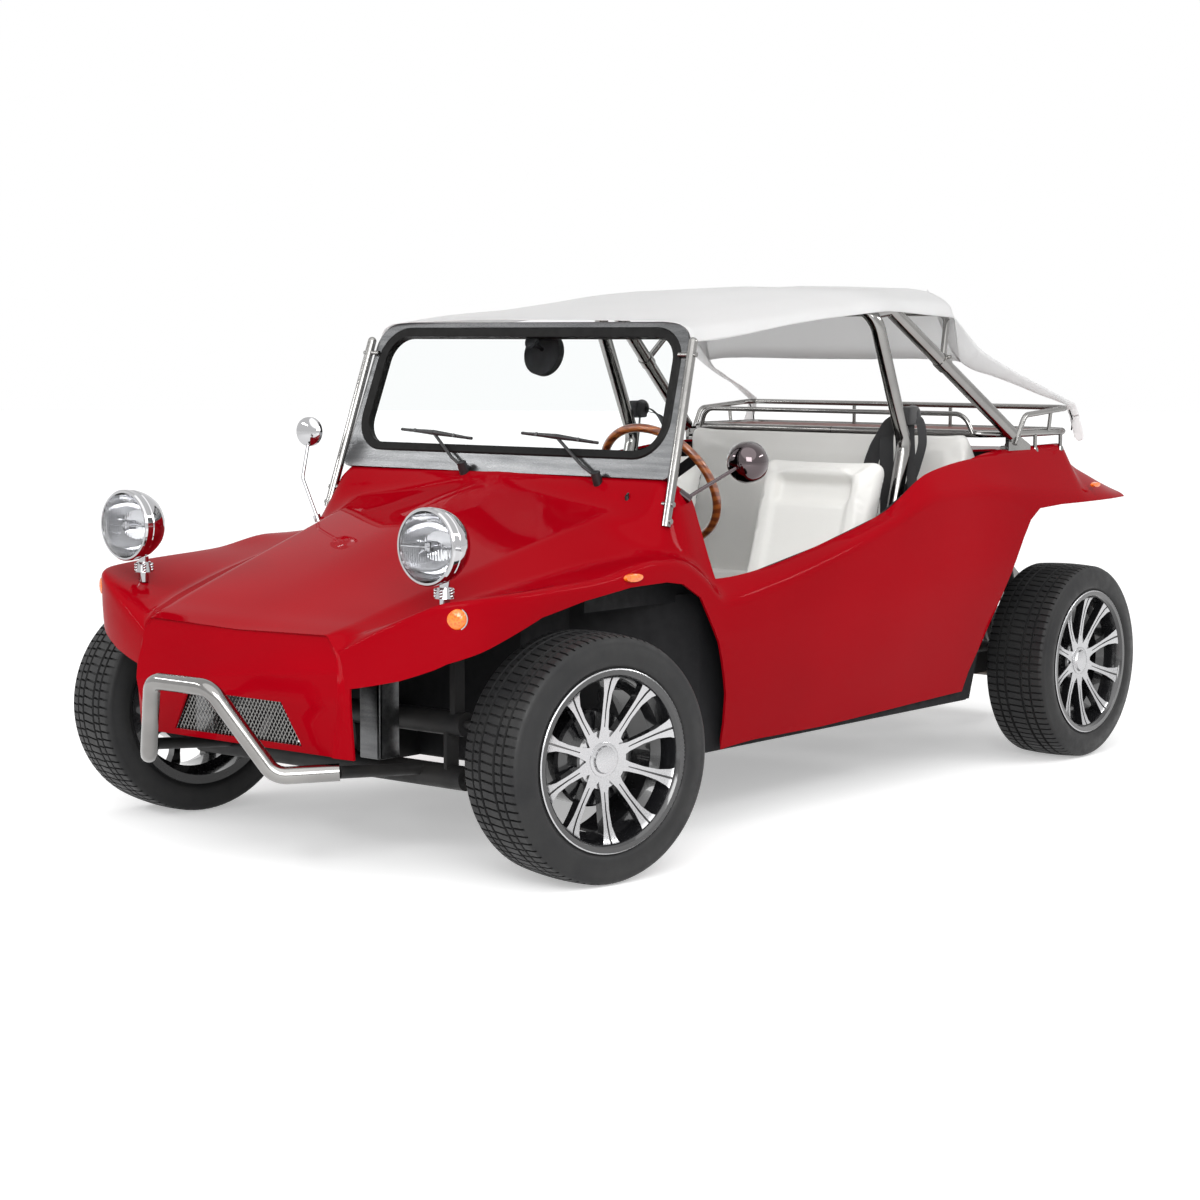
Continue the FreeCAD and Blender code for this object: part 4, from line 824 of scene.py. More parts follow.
class BUGGY_OT_grille(bpy.types.Operator):
    """Expanded steel mesh of the nose, leaned against its back"""
    bl_idname = "buggy.grille"
    bl_label = "Grille"

    def execute(self, context):
        middle = (GRILLE[0][1] + GRILLE[2][1]) / 2 * MM
        bm = bmesh.new()
        for a, b in mesh_strands():
            if in_grille(a, b):
                place = Matrix.Translation((a + b) / 2 + Vector((0, 0, middle)))
                turn = (b - a).normalized().to_track_quat("Z", "Y").to_matrix().to_4x4()
                length = (b - a).length * STRAND_SIZE[1]
                size = Matrix.Diagonal((MESH_WIRE * STRAND_SIZE[0], MESH_WIRE, length, 1))
                bmesh.ops.create_cube(bm, size=1, matrix=place @ turn @ size)
        pipe(bm, [Vector((x, 0, z)) * MM for x, z in GRILLE_RIM], 0.003, cyclic=True, sides=2)
        z0, y0 = NOSE_LINE[0]
        foot = Matrix.Translation((0, (y0 + SKIN) * MM + GRILLE_GAP, z0 * MM))
        lean = foot @ Matrix.Rotation(GRILLE_LEAN, 4, "X") @ Matrix.Translation((0, 0, -z0 * MM))
        bmesh.ops.transform(bm, matrix=lean, verts=bm.verts)
        piece(bm, "grille_wire", finish("stainless"), stands_for=("grille_mesh",))
        return {"FINISHED"}


# Tubes: centre lines in millimetres, radii, bends and small fastenings in metres
BUMPER = ((335, -1640, 274), (224, -1744, 266), (102, -1834, 474))
BUMPER_TUBE = (0.021, 0.055)
HOOP = ((520, 300, 225), (510, 523, 987), (514, 338, 1398))
HOOP_TUBE = (0.0215, 0.085)
BRACE = ((497, 352, 1370), (510, 436, 1382), (622, 952, 1008))
BRACE_TUBE = (0.0215, 0.030)
BRACKET_SIDE = ((942, 958), (1073, 958), (1073, 972), (1000, 1004), (942, 1004))
BRACKET_PLATE = (0.606, 0.618)
BRACKET_FOOT = ((0.588, 0.942, 0.945), (0.6175, 1.073, 0.972))
FOOT_BOLTS = (0.966, 1.054)
SIDE_BOLTS = ((0.952, 0.990), (0.982, 0.984))
BOW = ((557, 653, 1225), (500, 770, 1374))
BOW_TUBE = (0.010, 0.060)
CLAMP_HALF = 0.016
CLAMP_RADIUS = 0.0245
CLAMP_BOLT = ((0.014, 0, 0.018), (0.030, 0, 0.018))
STAY = ((606, -742, 817), (576, -592, 1285))
STAY_RADIUS = 0.0125
STAY_PINS = ((0.93, -0.04, 0.018, 0.006), (0.03, -0.02, 0.016, 0.007), (0.12, -0.02, 0.016, 0.007))
RACK_RAIL = ((618, 978, 976), (621, 1030, 1064), (621, 1306, 1082))
RAIL_TUBE = (0.0085, 0.040)
FRONT_RAIL = ((518, 896, 1008), (494, 886, 1068))
FRONT_TUBE = (0.0075, 0.050)
TRAY_LOOP = ((531, 902, 1008), (602, 988, 1008), (608, 1316, 1008))
TRAY_TUBE = (0.012, 0.040)
LOOP_END = Vector((0.002, 0, 0))
POST_RADIUS = 0.006
POSTS = (((0.187, 1.306, 1.012), (0.187, 1.306, 1.080)), ((0.6135, 1.190, 1.012), (0.621, 1.190, 1.074)))
LEG_PLACES = (1.112, 1.270)
LEG_X = 0.6115
LEG_HEIGHT = (0.940, 1.002)
LEG_FOOT = (0.950, 0.962)
HOOK = ((0.621, 1.308, 1.074), (0.620, 1.330, 1.044), (0.617, 1.330, 1.010))
HOOK_STRAP = (0.0022, 0.012)
SLATS = 6
SLAT_FIRST = 0.937
SLAT_PITCH = 0.0683
SLAT_HALF = 0.595
FIRST_SLAT_HALF = 0.540
SLAT_HALF_DEPTH = 0.0265
SLAT_HEIGHT = (1.003, 1.013)
BEARERS = (-0.4, 0.0, 0.4)
BEARER_HALF = 0.012
BEARER_RUN = (0.912, 1.304)
BEARER_HEIGHT = (0.995, 1.0035)


def spots(points):
    return [Vector(p) * MM for p in points]


def across(points):
    """A line of points in millimetres, carried over to the car's other side."""
    left = spots(points)
    return left + [Vector((-p.x, p.y, p.z)) for p in reversed(left)]


def roll_cage():
    """Hoop over the seats, and the two braces with their bolted feet."""
    bm = bmesh.new()
    pipe(bm, across(HOOP), *HOOP_TUBE)
    brace = bmesh.new()
    pipe(brace, spots(BRACE), *BRACE_TUBE)
    prism(brace, in_metres(BRACKET_SIDE), "x", *BRACKET_PLATE)
    block(brace, *BRACKET_FOOT, 0.002)
    for y in FOOT_BOLTS:
        bar(brace, (0.597, y, 0.970), (0.597, y, 0.978), 0.0065, sides=6)
    for y, z in SIDE_BOLTS:
        bar(brace, (0.604, y, z), (0.624, y, z), 0.006, sides=6)
    other_side(brace)
    carry(bm, brace)
    return bm


def canopy_bow():
    """Thin bow behind the hoop, clamped to the braces."""
    bm = bmesh.new()
    pipe(bm, across(BOW), *BOW_TUBE)
    foot, knee, clamp = spots((BRACE[2], BRACE[1], BOW[0]))
    reach = (foot - knee).normalized() * CLAMP_HALF
    grip = bmesh.new()
    bar(grip, clamp - reach, clamp + reach, CLAMP_RADIUS, sides=32)
    head, tip = (clamp + Vector(shift) for shift in CLAMP_BOLT)
    bar(grip, head, tip, 0.005, sides=6)
    other_side(grip)
    carry(bm, grip)
    return bm


def screen_stays():
    """Straight stays beside the screen, with the pins that hold them."""
    bm = bmesh.new()
    low, high = spots(STAY)
    bar(bm, low, high, STAY_RADIUS)
    ball(bm, high, STAY_RADIUS)
    for share, inwards, outwards, radius in STAY_PINS:
        spot = low + (high - low) * share
        bar(bm, spot + Vector((inwards, 0, 0)), spot + Vector((outwards, 0, 0)), radius)
    other_side(bm)
    return bm


def luggage_rack():
    """Rails, tray tube, posts and legs, and the two hook straps; faces 1 are the straps."""
    bm = bmesh.new()
    pipe(bm, across(RACK_RAIL), *RAIL_TUBE)
    pipe(bm, across(FRONT_RAIL), *FRONT_TUBE)
    loop = across(TRAY_LOOP)
    middle = (loop[0] + loop[-1]) / 2
    pipe(bm, [middle] + loop + [middle - LOOP_END], *TRAY_TUBE)
    half = bmesh.new()
    for foot, head in POSTS:
        bar(half, foot, head, POST_RADIUS)
    for y in LEG_PLACES:
        bar(half, *((LEG_X, y, z) for z in LEG_HEIGHT), POST_RADIUS)
        bar(half, *((LEG_X, y, z) for z in LEG_FOOT), 0.011, 0.009)
    strap = bmesh.new()
    pipe(strap, HOOK, *HOOK_STRAP)
    for face in strap.faces:
        face.material_index = 1
    carry(half, strap)
    other_side(half)
    carry(bm, half)
    return bm


def tray_slats():
    """Wooden slats on three bearers, the first one shorter."""
    bm = bmesh.new()
    for number in range(SLATS):
        middle = SLAT_FIRST + number * SLAT_PITCH
        half = FIRST_SLAT_HALF if number == 0 else SLAT_HALF
        block(bm, (-half, middle - SLAT_HALF_DEPTH, SLAT_HEIGHT[0]),
              (half, middle + SLAT_HALF_DEPTH, SLAT_HEIGHT[1]), 0.002)
    for x in BEARERS:
        block(bm, (x - BEARER_HALF, BEARER_RUN[0], BEARER_HEIGHT[0]),
              (x + BEARER_HALF, BEARER_RUN[1], BEARER_HEIGHT[1]), 0.001)
    return bm


class BUGGY_OT_tubes(bpy.types.Operator):
    """Bend the bumper, roll cage, canopy bow, screen stays and luggage rack"""
    bl_idname = "buggy.tubes"
    bl_label = "Tubes"

    def execute(self, context):
        steel = finish("stainless")
        bumper = bmesh.new()
        pipe(bumper, across(BUMPER), *BUMPER_TUBE)
        piece(bumper, "bumper_tube", steel, stands_for=("bumper_bar",))
        piece(roll_cage(), "cage_tubes", steel, stands_for=("roll_cage",))
        piece(canopy_bow(), "bow_tube", steel, stands_for=("canopy_bow",))
        piece(screen_stays(), "screen_stays", steel, stands_for=("windscreen_stays",))
        piece(luggage_rack(), "rack_tubes", [steel, finish("seal")],
              stands_for=("luggage_rack",))
        piece(tray_slats(), "rack_slats", finish("slat"), stands_for=("rack_tray",))
        return {"FINISHED"}


# Wheels, modelled about +X pointing outwards; profiles are (along the axle, radius) in metres
STEER = math.radians(-11.5)
TREAD_TOP = 0.300
TREAD_DROP = 0.004
TREAD_HALF = 0.086
RIBS = ((-0.086, -0.060), (-0.052, -0.032), (-0.022, 0.022), (0.032, 0.052), (0.060, 0.086))
RIB_EDGE = 0.002
GROOVE_EDGE = 0.0015
TYRE_INSIDE = (
    (-0.083, 0.2035), (-0.088, 0.232), (-0.094, 0.262), (-0.070, 0.284), (0.070, 0.284), (0.094, 0.262),
    (0.088, 0.232), (0.083, 0.2035),
)
TYRE_SIDE = (
    (0.095, 0.2035), (0.0965, 0.2225), (0.1005, 0.226), (0.1045, 0.232), (0.1055, 0.236), (0.1062, 0.243),
    (0.1064, 0.252), (0.1038, 0.262), (0.1018, 0.272), (0.1012, 0.2735), (0.1000, 0.280), (0.0982, 0.287),
    (0.0940, 0.2925),
)
SLOT_SHARE = 4
SLOT_DEPTH = 0.8
SLOT_LIMITS = (0.2905, 0.0955)
SLOT_MARGIN = 0.0035
MIDDLE_RIB = 0.024
TWIST_LIMIT = (0.284, 0.1)
MIDDLE_TWIST = (0.056, 0.9)
SHOULDER_TWIST = 0.35
TWIST = 0.35
RIM_BARREL = (
    (-0.1032, 0.2205), (-0.0953, 0.2205), (-0.0953, 0.2030), (-0.055, 0.2030), (-0.040, 0.185),
    (0.020, 0.185), (0.040, 0.2030), (0.0953, 0.2030), (0.0953, 0.2205), (0.1020, 0.2205), (0.1036, 0.2178),
    (0.1032, 0.2060), (0.0985, 0.2010), (0.0940, 0.1985), (0.044, 0.1940), (0.024, 0.178), (-0.044, 0.178),
    (-0.060, 0.195), (-0.1032, 0.197),
)
LIP_FACE = (0.1022, 0.2172)
SPOKE_LINE = (
    (0.040, 0.019, 0.064), (0.078, 0.0115, 0.066), (0.120, 0.010, 0.071), (0.160, 0.0125, 0.079),
    (0.188, 0.020, 0.088), (0.198, 0.026, 0.0935), (0.2055, 0.030, 0.1015),
)
SPOKE_DEPTH = 0.026
SPOKE_BACK = 0.82
SPOKE_GROOVE = (0.0012, 0.014, 0.078)
GROOVE_START = 0.08
GROOVE_DEPTH = 0.0035
GROOVE_HALF = 0.0035
GROOVE_MIDDLE = 0.0005
HUB = (
    (0.036, 0.0), (0.036, 0.046), (0.050, 0.048), (0.060, 0.046), (0.0625, 0.043), (0.0655, 0.042),
    (0.0665, 0.040), (0.0665, 0.034), (0.068, 0.033), (0.0725, 0.031), (0.0740, 0.024), (0.0745, 0.0),
)
HUB_FACE = 0.061
LUG_RING = ((0.034, 0.040), (0.058, 0.040), (0.0605, 0.060), (0.0605, 0.071), (0.056, 0.076), (0.034, 0.074))
LUG_FACE = 0.0585
LUGS = 4
LUG_CIRCLE = 0.055
BRAKE_DRUM = ((-0.040, 0.0), (-0.040, 0.118), (0.022, 0.118), (0.030, 0.112), (0.034, 0.09), (0.034, 0.0))


def tread_radius(x):
    """Rounded tread: highest in the middle."""
    return TREAD_TOP - TREAD_DROP * (x / TREAD_HALF) ** 2


def tyre_profile(groove):
    tread = []
    ribs = list(reversed(RIBS))
    for number, (low, high) in enumerate(ribs):
        for x in (high, high - RIB_EDGE, (low + high) / 2, low + RIB_EDGE, low):
            tread.append((x, tread_radius(x)))
        if number < len(ribs) - 1:
            for x in (low - GROOVE_EDGE, ribs[number + 1][1] + GROOVE_EDGE):
                tread.append((x, tread_radius(x) - groove))
    return [*TYRE_SIDE, *tread, *((-x, r) for x, r in reversed(TYRE_SIDE)), *TYRE_INSIDE]


def tread_slots(bm, steps):
    """The faces of the tread that become slots, a different one on each rib of a block."""
    slots = []
    for face in bm.faces:
        centre = face.calc_center_median()
        radius = math.hypot(centre.y, centre.z)
        if radius < SLOT_LIMITS[0] or abs(centre.x) > SLOT_LIMITS[1]:
            continue
        if radius < tread_radius(centre.x) - SLOT_MARGIN and abs(centre.x) < TREAD_HALF:
            continue
        step = int(math.atan2(centre.z, centre.y) % TURN / TURN * steps) % SLOT_SHARE
        offset = 1 if abs(centre.x) < MIDDLE_RIB else 0 if centre.x > 0 else 2
        if step == offset:
            slots.append(face)
    return slots


def tread_twist(x):
    """How far the slots lean at a place across the tread."""
    reach, slope = MIDDLE_TWIST
    return slope * x if abs(x) < reach else SHOULDER_TWIST * abs(x) * (1 if x > 0 else -1)


def sink(bm, faces):
    """Extrudes faces, drops the old ones and returns the new corners, still in place."""
    grown = bmesh.ops.extrude_face_region(bm, geom=faces)["geom"]
    bmesh.ops.delete(bm, geom=faces, context="FACES_ONLY")
    return [item for item in grown if isinstance(item, bmesh.types.BMVert)]


def make_tyre(wheels):
    """Tyre with rounded sidewalls, ribs, and a slot across every block."""
    steps = wheels.pitches * SLOT_SHARE
    bm = lathe(tyre_profile(wheels.groove), steps)
    for vert in sink(bm, tread_slots(bm, steps)):
        radius = math.hypot(vert.co.y, vert.co.z)
        scale = (radius - wheels.groove * SLOT_DEPTH) / radius
        vert.co.y, vert.co.z = vert.co.y * scale, vert.co.z * scale
    for vert in bm.verts:
        radius = math.hypot(vert.co.y, vert.co.z)
        if radius > TWIST_LIMIT[0] and abs(vert.co.x) < TWIST_LIMIT[1]:
            angle = math.atan2(vert.co.z, vert.co.y) + tread_twist(vert.co.x) * TWIST
            vert.co.y, vert.co.z = radius * math.cos(angle), radius * math.sin(angle)
    return bm


def make_spoke():
    """One spoke pointing up, with a groove down its outer side; faces 1 are machined."""
    spoke = bmesh.new()
    bmesh.ops.create_grid(spoke, x_segments=3, y_segments=len(SPOKE_LINE) - 1, size=1)
    ordered = sorted(spoke.verts, key=lambda vert: (round(vert.co.y, 4), vert.co.x))
    narrow, widening, start = SPOKE_GROOVE
    for number, vert in enumerate(ordered):
        row, column = divmod(number, 4)
        radius, half, face = SPOKE_LINE[row]
        gap = narrow + widening * max(0.0, radius - start)
        vert.co = (face, (-half, -gap, gap, half)[column], radius)
    groove = []
    for face in spoke.faces:
        centre = face.calc_center_median()
        if abs(centre.y) < GROOVE_MIDDLE and centre.z > GROOVE_START:
            groove.append(face)
    back = bmesh.ops.extrude_face_region(spoke, geom=spoke.faces[:])["geom"]
    for item in back:
        if isinstance(item, bmesh.types.BMVert):
            item.co.x -= SPOKE_DEPTH
            item.co.y *= SPOKE_BACK
    for vert in sink(spoke, groove):
        vert.co.x -= GROOVE_DEPTH
    bmesh.ops.recalc_face_normals(spoke, faces=spoke.faces)
    for face in spoke.faces:
        centre = face.calc_center_median()
        bright = face.normal.x > 0.7 and (abs(centre.y) > GROOVE_HALF or centre.z < GROOVE_START)
        face.material_index = 1 if bright else 0
    return spoke


def machined_beyond(bm, along):
    """Marks the faces further out than a place along the axle as machined."""
    for face in bm.faces:
        face.material_index = 1 if face.calc_center_median().x > along else 0


def make_rim(wheels):
    """Barrel, grooved spokes, hub with lug holes and cap, and the drum behind."""
    bm = lathe(RIM_BARREL, 96)
    for index in range(wheels.spokes):
        spoke = make_spoke()
        turn = Matrix.Rotation(TURN * index / wheels.spokes, 3, "X")
        bmesh.ops.rotate(spoke, cent=(0, 0, 0), matrix=turn, verts=spoke.verts)
        carry(bm, spoke)
    hub = lathe(HUB, 64, closed=False)
    machined_beyond(hub, HUB_FACE)
    carry(bm, hub)
    ring = lathe(LUG_RING, 64)
    machined_beyond(ring, LUG_FACE)
    carry(bm, ring)
    for index in range(LUGS):
        angle = TURN * (index + 0.5) / LUGS
        spot = Vector((0.0, math.cos(angle) * LUG_CIRCLE, math.sin(angle) * LUG_CIRCLE))
        bar(bm, spot + Vector((0.052, 0, 0)), spot + Vector((0.0612, 0, 0)), 0.0095, 0.0100)
        bar(bm, spot + Vector((0.055, 0, 0)), spot + Vector((0.0618, 0, 0)), 0.0060, sides=6)
    carry(bm, lathe(BRAKE_DRUM, 48, closed=False))
    for face in bm.faces:
        centre = face.calc_center_median()
        if centre.x > LIP_FACE[0] and math.hypot(centre.y, centre.z) > LIP_FACE[1]:
            face.material_index = 1
    return bm


class BUGGY_OT_wheels(bpy.types.Operator):
    """Make one tyre and one rim, and set them at the four hubs"""
    bl_idname = "buggy.wheels"
    bl_label = "Wheels"

    def execute(self, context):
        wheels = context.scene.buggy_wheels
        tyre, rim = make_tyre(wheels), make_rim(wheels)
        kinds = ((tyre, "tyre", "tyre_rubber", finish("tyre")),
                 (rim, "rim", "alloy_black", [finish("alloy_black"), finish("machined")]))
        for end, angle in (("front", STEER), ("rear", 0.0)):
            for label, side in SIDES:
                low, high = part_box(f"tyre_{end}_{label}")
                place = Matrix.Translation((low + high) / 2) @ Matrix.Rotation(angle, 4, "Z")
                if side < 0:
                    place = place @ Matrix.Rotation(math.pi, 4, "Z")
                for source, kind, slot, looks in kinds:
                    copy = source.copy()
                    bmesh.ops.transform(copy, matrix=place, verts=copy.verts)
                    node = f"{kind}_{end}_{label}"
                    piece(copy, f"{node}_detail", looks, body=f"wheel_{end}_{label}",
                          stands_for=(node,), sharp=30.0)
        tyre.free()
        rim.free()
        return {"FINISHED"}


# Lamps: round profiles are (along the axle, radius) in metres
FORWARD = (0, -1, 0)
BACKWARD = (0, 1, 0)
LAMP = Vector((0.532, -1.548, 0.811))
LAMP_BOWL = (
    (0.006, 0.084), (0.006, 0.089), (0.002, 0.092), (-0.010, 0.092), (-0.013, 0.0895), (-0.018, 0.0895),
    (-0.020, 0.091), (-0.030, 0.090), (-0.050, 0.084), (-0.070, 0.073), (-0.088, 0.055), (-0.101, 0.034),
    (-0.110, 0.012), (-0.112, 0.0), (-0.106, 0.0), (-0.090, 0.038), (-0.066, 0.064), (-0.040, 0.078),
    (-0.012, 0.0825),
)
LAMP_LENS = (
    (0.022, 0.0), (0.0215, 0.020), (0.0195, 0.045), (0.014, 0.068), (0.006, 0.0825), (0.001, 0.0825),
    (0.009, 0.066), (0.0145, 0.044), (0.0165, 0.020), (0.017, 0.0),
)
LAMP_FOOT = Vector((0, 0.060, 0))
COLLAR_LIFTS = (-0.105, -0.112, -0.119)
COLLAR_BEADS = 5
COLLAR_TURN = 1.26
COLLAR_RADIUS = 0.021
INDICATOR = Vector((0.617, -1.538, 0.649))
INDICATOR_WAY = Vector((0.5, -0.866, 0)).normalized()
INDICATOR_CUP = ((-0.02, 0.0), (-0.02, 0.020), (-0.006, 0.027), (0.006, 0.029), (0.010, 0.0275), (0.010, 0.0))
INDICATOR_DOME = (
    (0.008, 0.0), (0.008, 0.0255), (0.014, 0.024), (0.019, 0.019), (0.0215, 0.010), (0.022, 0.0),
)
FRONT_MARKER = ((-0.008, 0.0), (-0.008, 0.012), (0.004, 0.011), (0.0060, 0.006), (0.0065, 0.0))
FRONT_MARKER_PLACE = Matrix.Translation((0.706, -0.996, 0.711)) @ Matrix.Diagonal((1, 2.9, 0.9, 1))
REAR_MARKER = ((-0.008, 0.0), (-0.008, 0.009), (0.004, 0.008), (0.0055, 0.005), (0.006, 0.0))
REAR_MARKER_PLACE = Matrix.Translation((0.676, 1.390, 0.838)) @ Matrix.Diagonal((1, 2.6, 0.9, 1))
TAIL_LAMPS = (0.300, 0.395)
TAIL_CUP = (
    (0.0, 0.0), (0.0, 0.030), (0.010, 0.0385), (0.040, 0.040), (0.058, 0.040), (0.062, 0.038), (0.062, 0.036),
    (0.055, 0.0355), (0.055, 0.0),
)
TAIL_LENS = ((0.054, 0.0), (0.054, 0.0355), (0.064, 0.0345), (0.071, 0.028), (0.074, 0.016), (0.075, 0.0))


def facing(centre, direction):
    """Places a shape made about +X so that +X looks along a direction."""
    return Matrix.Translation(centre) @ Vector(direction).to_track_quat("X", "Z").to_matrix().to_4x4()


def headlamp_bowls():
    """Bowls with their pedestals, beaded collars, side screws, bulbs and shades."""
    bm = lathe(LAMP_BOWL, 72, facing(LAMP, FORWARD))
    foot = LAMP + LAMP_FOOT
    bar(bm, foot - UP * 0.150, foot - UP * 0.084, 0.013)
    bar(bm, foot - UP * 0.124, foot - UP * 0.098, 0.024, 0.018)
    bar(bm, LAMP + Vector((0.090, 0.012, 0.0)), LAMP + Vector((0.101, 0.012, 0.0)), 0.006)
    bar(bm, LAMP + Vector((0, 0.030, 0)), LAMP + Vector((0, 0.004, 0)), 0.013, 0.010)
    block(bm, LAMP + Vector((-0.074, -0.006, -0.0012)), LAMP + Vector((0.006, 0.046, 0.0012)), 0.0004)
    for lift in COLLAR_LIFTS:
        for number in range(COLLAR_BEADS):
            angle = number * COLLAR_TURN
            spread = Vector((math.cos(angle), math.sin(angle), 0)) * COLLAR_RADIUS
            ball(bm, foot + UP * lift + spread, 0.0052)
    other_side(bm)
    return bm


def marker_lenses():
    """Domes of the front indicators, and the flat lenses at the front arch and the tail."""
    bm = lathe(INDICATOR_DOME, 48, facing(INDICATOR, INDICATOR_WAY))
    carry(bm, lathe(FRONT_MARKER, 32, FRONT_MARKER_PLACE))
    carry(bm, lathe(REAR_MARKER, 32, REAR_MARKER_PLACE))
    other_side(bm)
    return bm


def tail_lamps():
    """Cups on short feet, and their lenses, two on each side."""
    cups, lenses = bmesh.new(), bmesh.new()
    for x in TAIL_LAMPS:
        place = facing(Vector((x, 1.500, 0.900)), BACKWARD)
        carry(cups, lathe(TAIL_CUP, 48, place))
        bar(cups, (x, 1.520, 0.846), (x, 1.520, 0.866), 0.022, 0.018)
        carry(lenses, lathe(TAIL_LENS, 48, place))
    other_side(cups)
    other_side(lenses)
    return cups, lenses


class BUGGY_OT_lamps(bpy.types.Operator):
    """Headlamps, indicators, side markers and tail lamps"""
    bl_idname = "buggy.lamps"
    bl_label = "Lamps"

    def execute(self, context):
        chrome = finish("chrome")
        piece(headlamp_bowls(), "headlamp_bowls", chrome, stands_for=("headlamps",))
        glass = lathe(LAMP_LENS, 64, facing(LAMP, FORWARD))
        other_side(glass)
        piece(glass, "headlamp_glass", finish("lamp_glass"), stands_for=("headlamp_lenses",))
        indicators = lathe(INDICATOR_CUP, 48, facing(INDICATOR, INDICATOR_WAY))
        other_side(indicators)
        piece(indicators, "indicator_cups", chrome)
        piece(marker_lenses(), "marker_lenses", finish("amber"), stands_for=("marker_lamps",))
        cups, lenses = tail_lamps()
        piece(cups, "tail_cups", chrome)
        piece(lenses, "tail_lenses", finish("red_lens"), stands_for=("tail_lamps",))
        return {"FINISHED"}


# Windscreen seal: a black ring in the screen's raked plane
# Its edges are (side, low, high, radius) in millimetres, one for each depth
SCREEN_RAKE = math.radians(19.3)
SCREEN_BASE = Vector((0, -0.694, 0.937))
SCREEN_UP = Vector((0, math.sin(SCREEN_RAKE), math.cos(SCREEN_RAKE)))
SCREEN_OUT = Vector((0, -math.cos(SCREEN_RAKE), math.sin(SCREEN_RAKE)))
SEAL_EDGES = (
    (19, 43, 406, 102), (24, 47, 402, 98), (24, 47, 402, 98),
    (48, 68, 380, 72), (48, 68, 380, 72), (19, 43, 406, 102),
)
SEAL_DEPTHS = (10.2, 14.0, 14.0, 9.0, -14.0, -20.5)
SCREEN_HALF = 582
SCREEN_TAPER = 26
SCREEN_HEIGHT = 421


def screen_point(x, s, n):
    """A point from its place across, up and out of the glass, in millimetres."""
    return SCREEN_BASE + Vector((x * MM, 0, 0)) + SCREEN_UP * s * MM + SCREEN_OUT * n * MM


def screen_loop(side, low, high, radius, depth):
    """A rounded loop parallel to the glass, in metres."""
    def half(s):
        return SCREEN_HALF - SCREEN_TAPER * s / SCREEN_HEIGHT - side

    corners = [(-half(low), low), (half(low), low), (half(high), high), (-half(high), high)]
    route = [(0, low)] + corners[1:] + corners[:1] + [(0, low)]
    return rounded_route([screen_point(x, s, depth) for x, s in route], radius * MM)[:-1]


class BUGGY_OT_seal(bpy.types.Operator):
    """Black rubber seal round the windscreen glass"""
    bl_idname = "buggy.seal"
    bl_label = "Windscreen seal"

    def execute(self, context):
        bm = bmesh.new()
        loops = []
        for edge, depth in zip(SEAL_EDGES, SEAL_DEPTHS):
            loops.append([bm.verts.new(point) for point in screen_loop(*edge, depth)])
        for loop, other in zip(loops, loops[1:] + loops[:1]):
            for number in range(len(loop)):
                after = (number + 1) % len(loop)
                bm.faces.new((loop[number], loop[after], other[after], other[number]))
        piece(bm, "screen_seal", finish("seal"), stands_for=("windscreen_seal",))
        return {"FINISHED"}


# Mirrors, wipers, nose plates and steering wheel
NEAR_MIRROR = Vector((0.655, -0.465, 0.972))
NEAR_MIRROR_CUP = (
    (-0.030, 0.0), (-0.030, 0.049), (-0.026, 0.0535), (-0.020, 0.055), (0.002, 0.0545), (0.016, 0.050),
    (0.030, 0.040), (0.040, 0.024), (0.044, 0.0),
)
FAR_MIRROR = Vector((-0.640, -0.785, 1.030))
FAR_MIRROR_CUP = (
    (-0.012, 0.0), (-0.012, 0.038), (-0.008, 0.042), (0.002, 0.041), (0.010, 0.032), (0.014, 0.0),
)
FAR_MIRROR_ARM = ((-0.602, -0.792, 0.790), (-0.640, -0.810, 0.900), (-0.640, -0.788, 0.992))
WIPERS = (((-109, -718, 937), (-250, 92)), ((362, -718, 925), (195, 92)))
BLADE_ENDS = ((-135, 13), (135, -7))
STEERING = Vector((0.330, -0.412, 0.901))
STEERING_TILT = math.radians(30.4)
RING_RADIUS = 0.180
RING_POINTS = 72
RING_TUBE = 0.0118
STEERING_SPOKES = (90, 210, 330)


def near_mirror():
    bm = lathe(NEAR_MIRROR_CUP, 64, facing(NEAR_MIRROR, (0.12, -1, -0.05)), closed=False)
    bar(bm, (0.590, -0.632, 0.885), NEAR_MIRROR + Vector((0, -0.03, -0.008)), 0.005)
    bar(bm, (0.577, -0.650, 0.902), (0.596, -0.628, 0.880), 0.011)
    return bm


def far_mirror():
    bm = lathe(FAR_MIRROR_CUP, 48, facing(FAR_MIRROR, (0.2, -1, 0)), closed=False)
    pipe(bm, FAR_MIRROR_ARM, 0.005, 0.030)
    bar(bm, (-0.604, -0.793, 0.796), (-0.598, -0.790, 0.778), 0.011)
    return bm


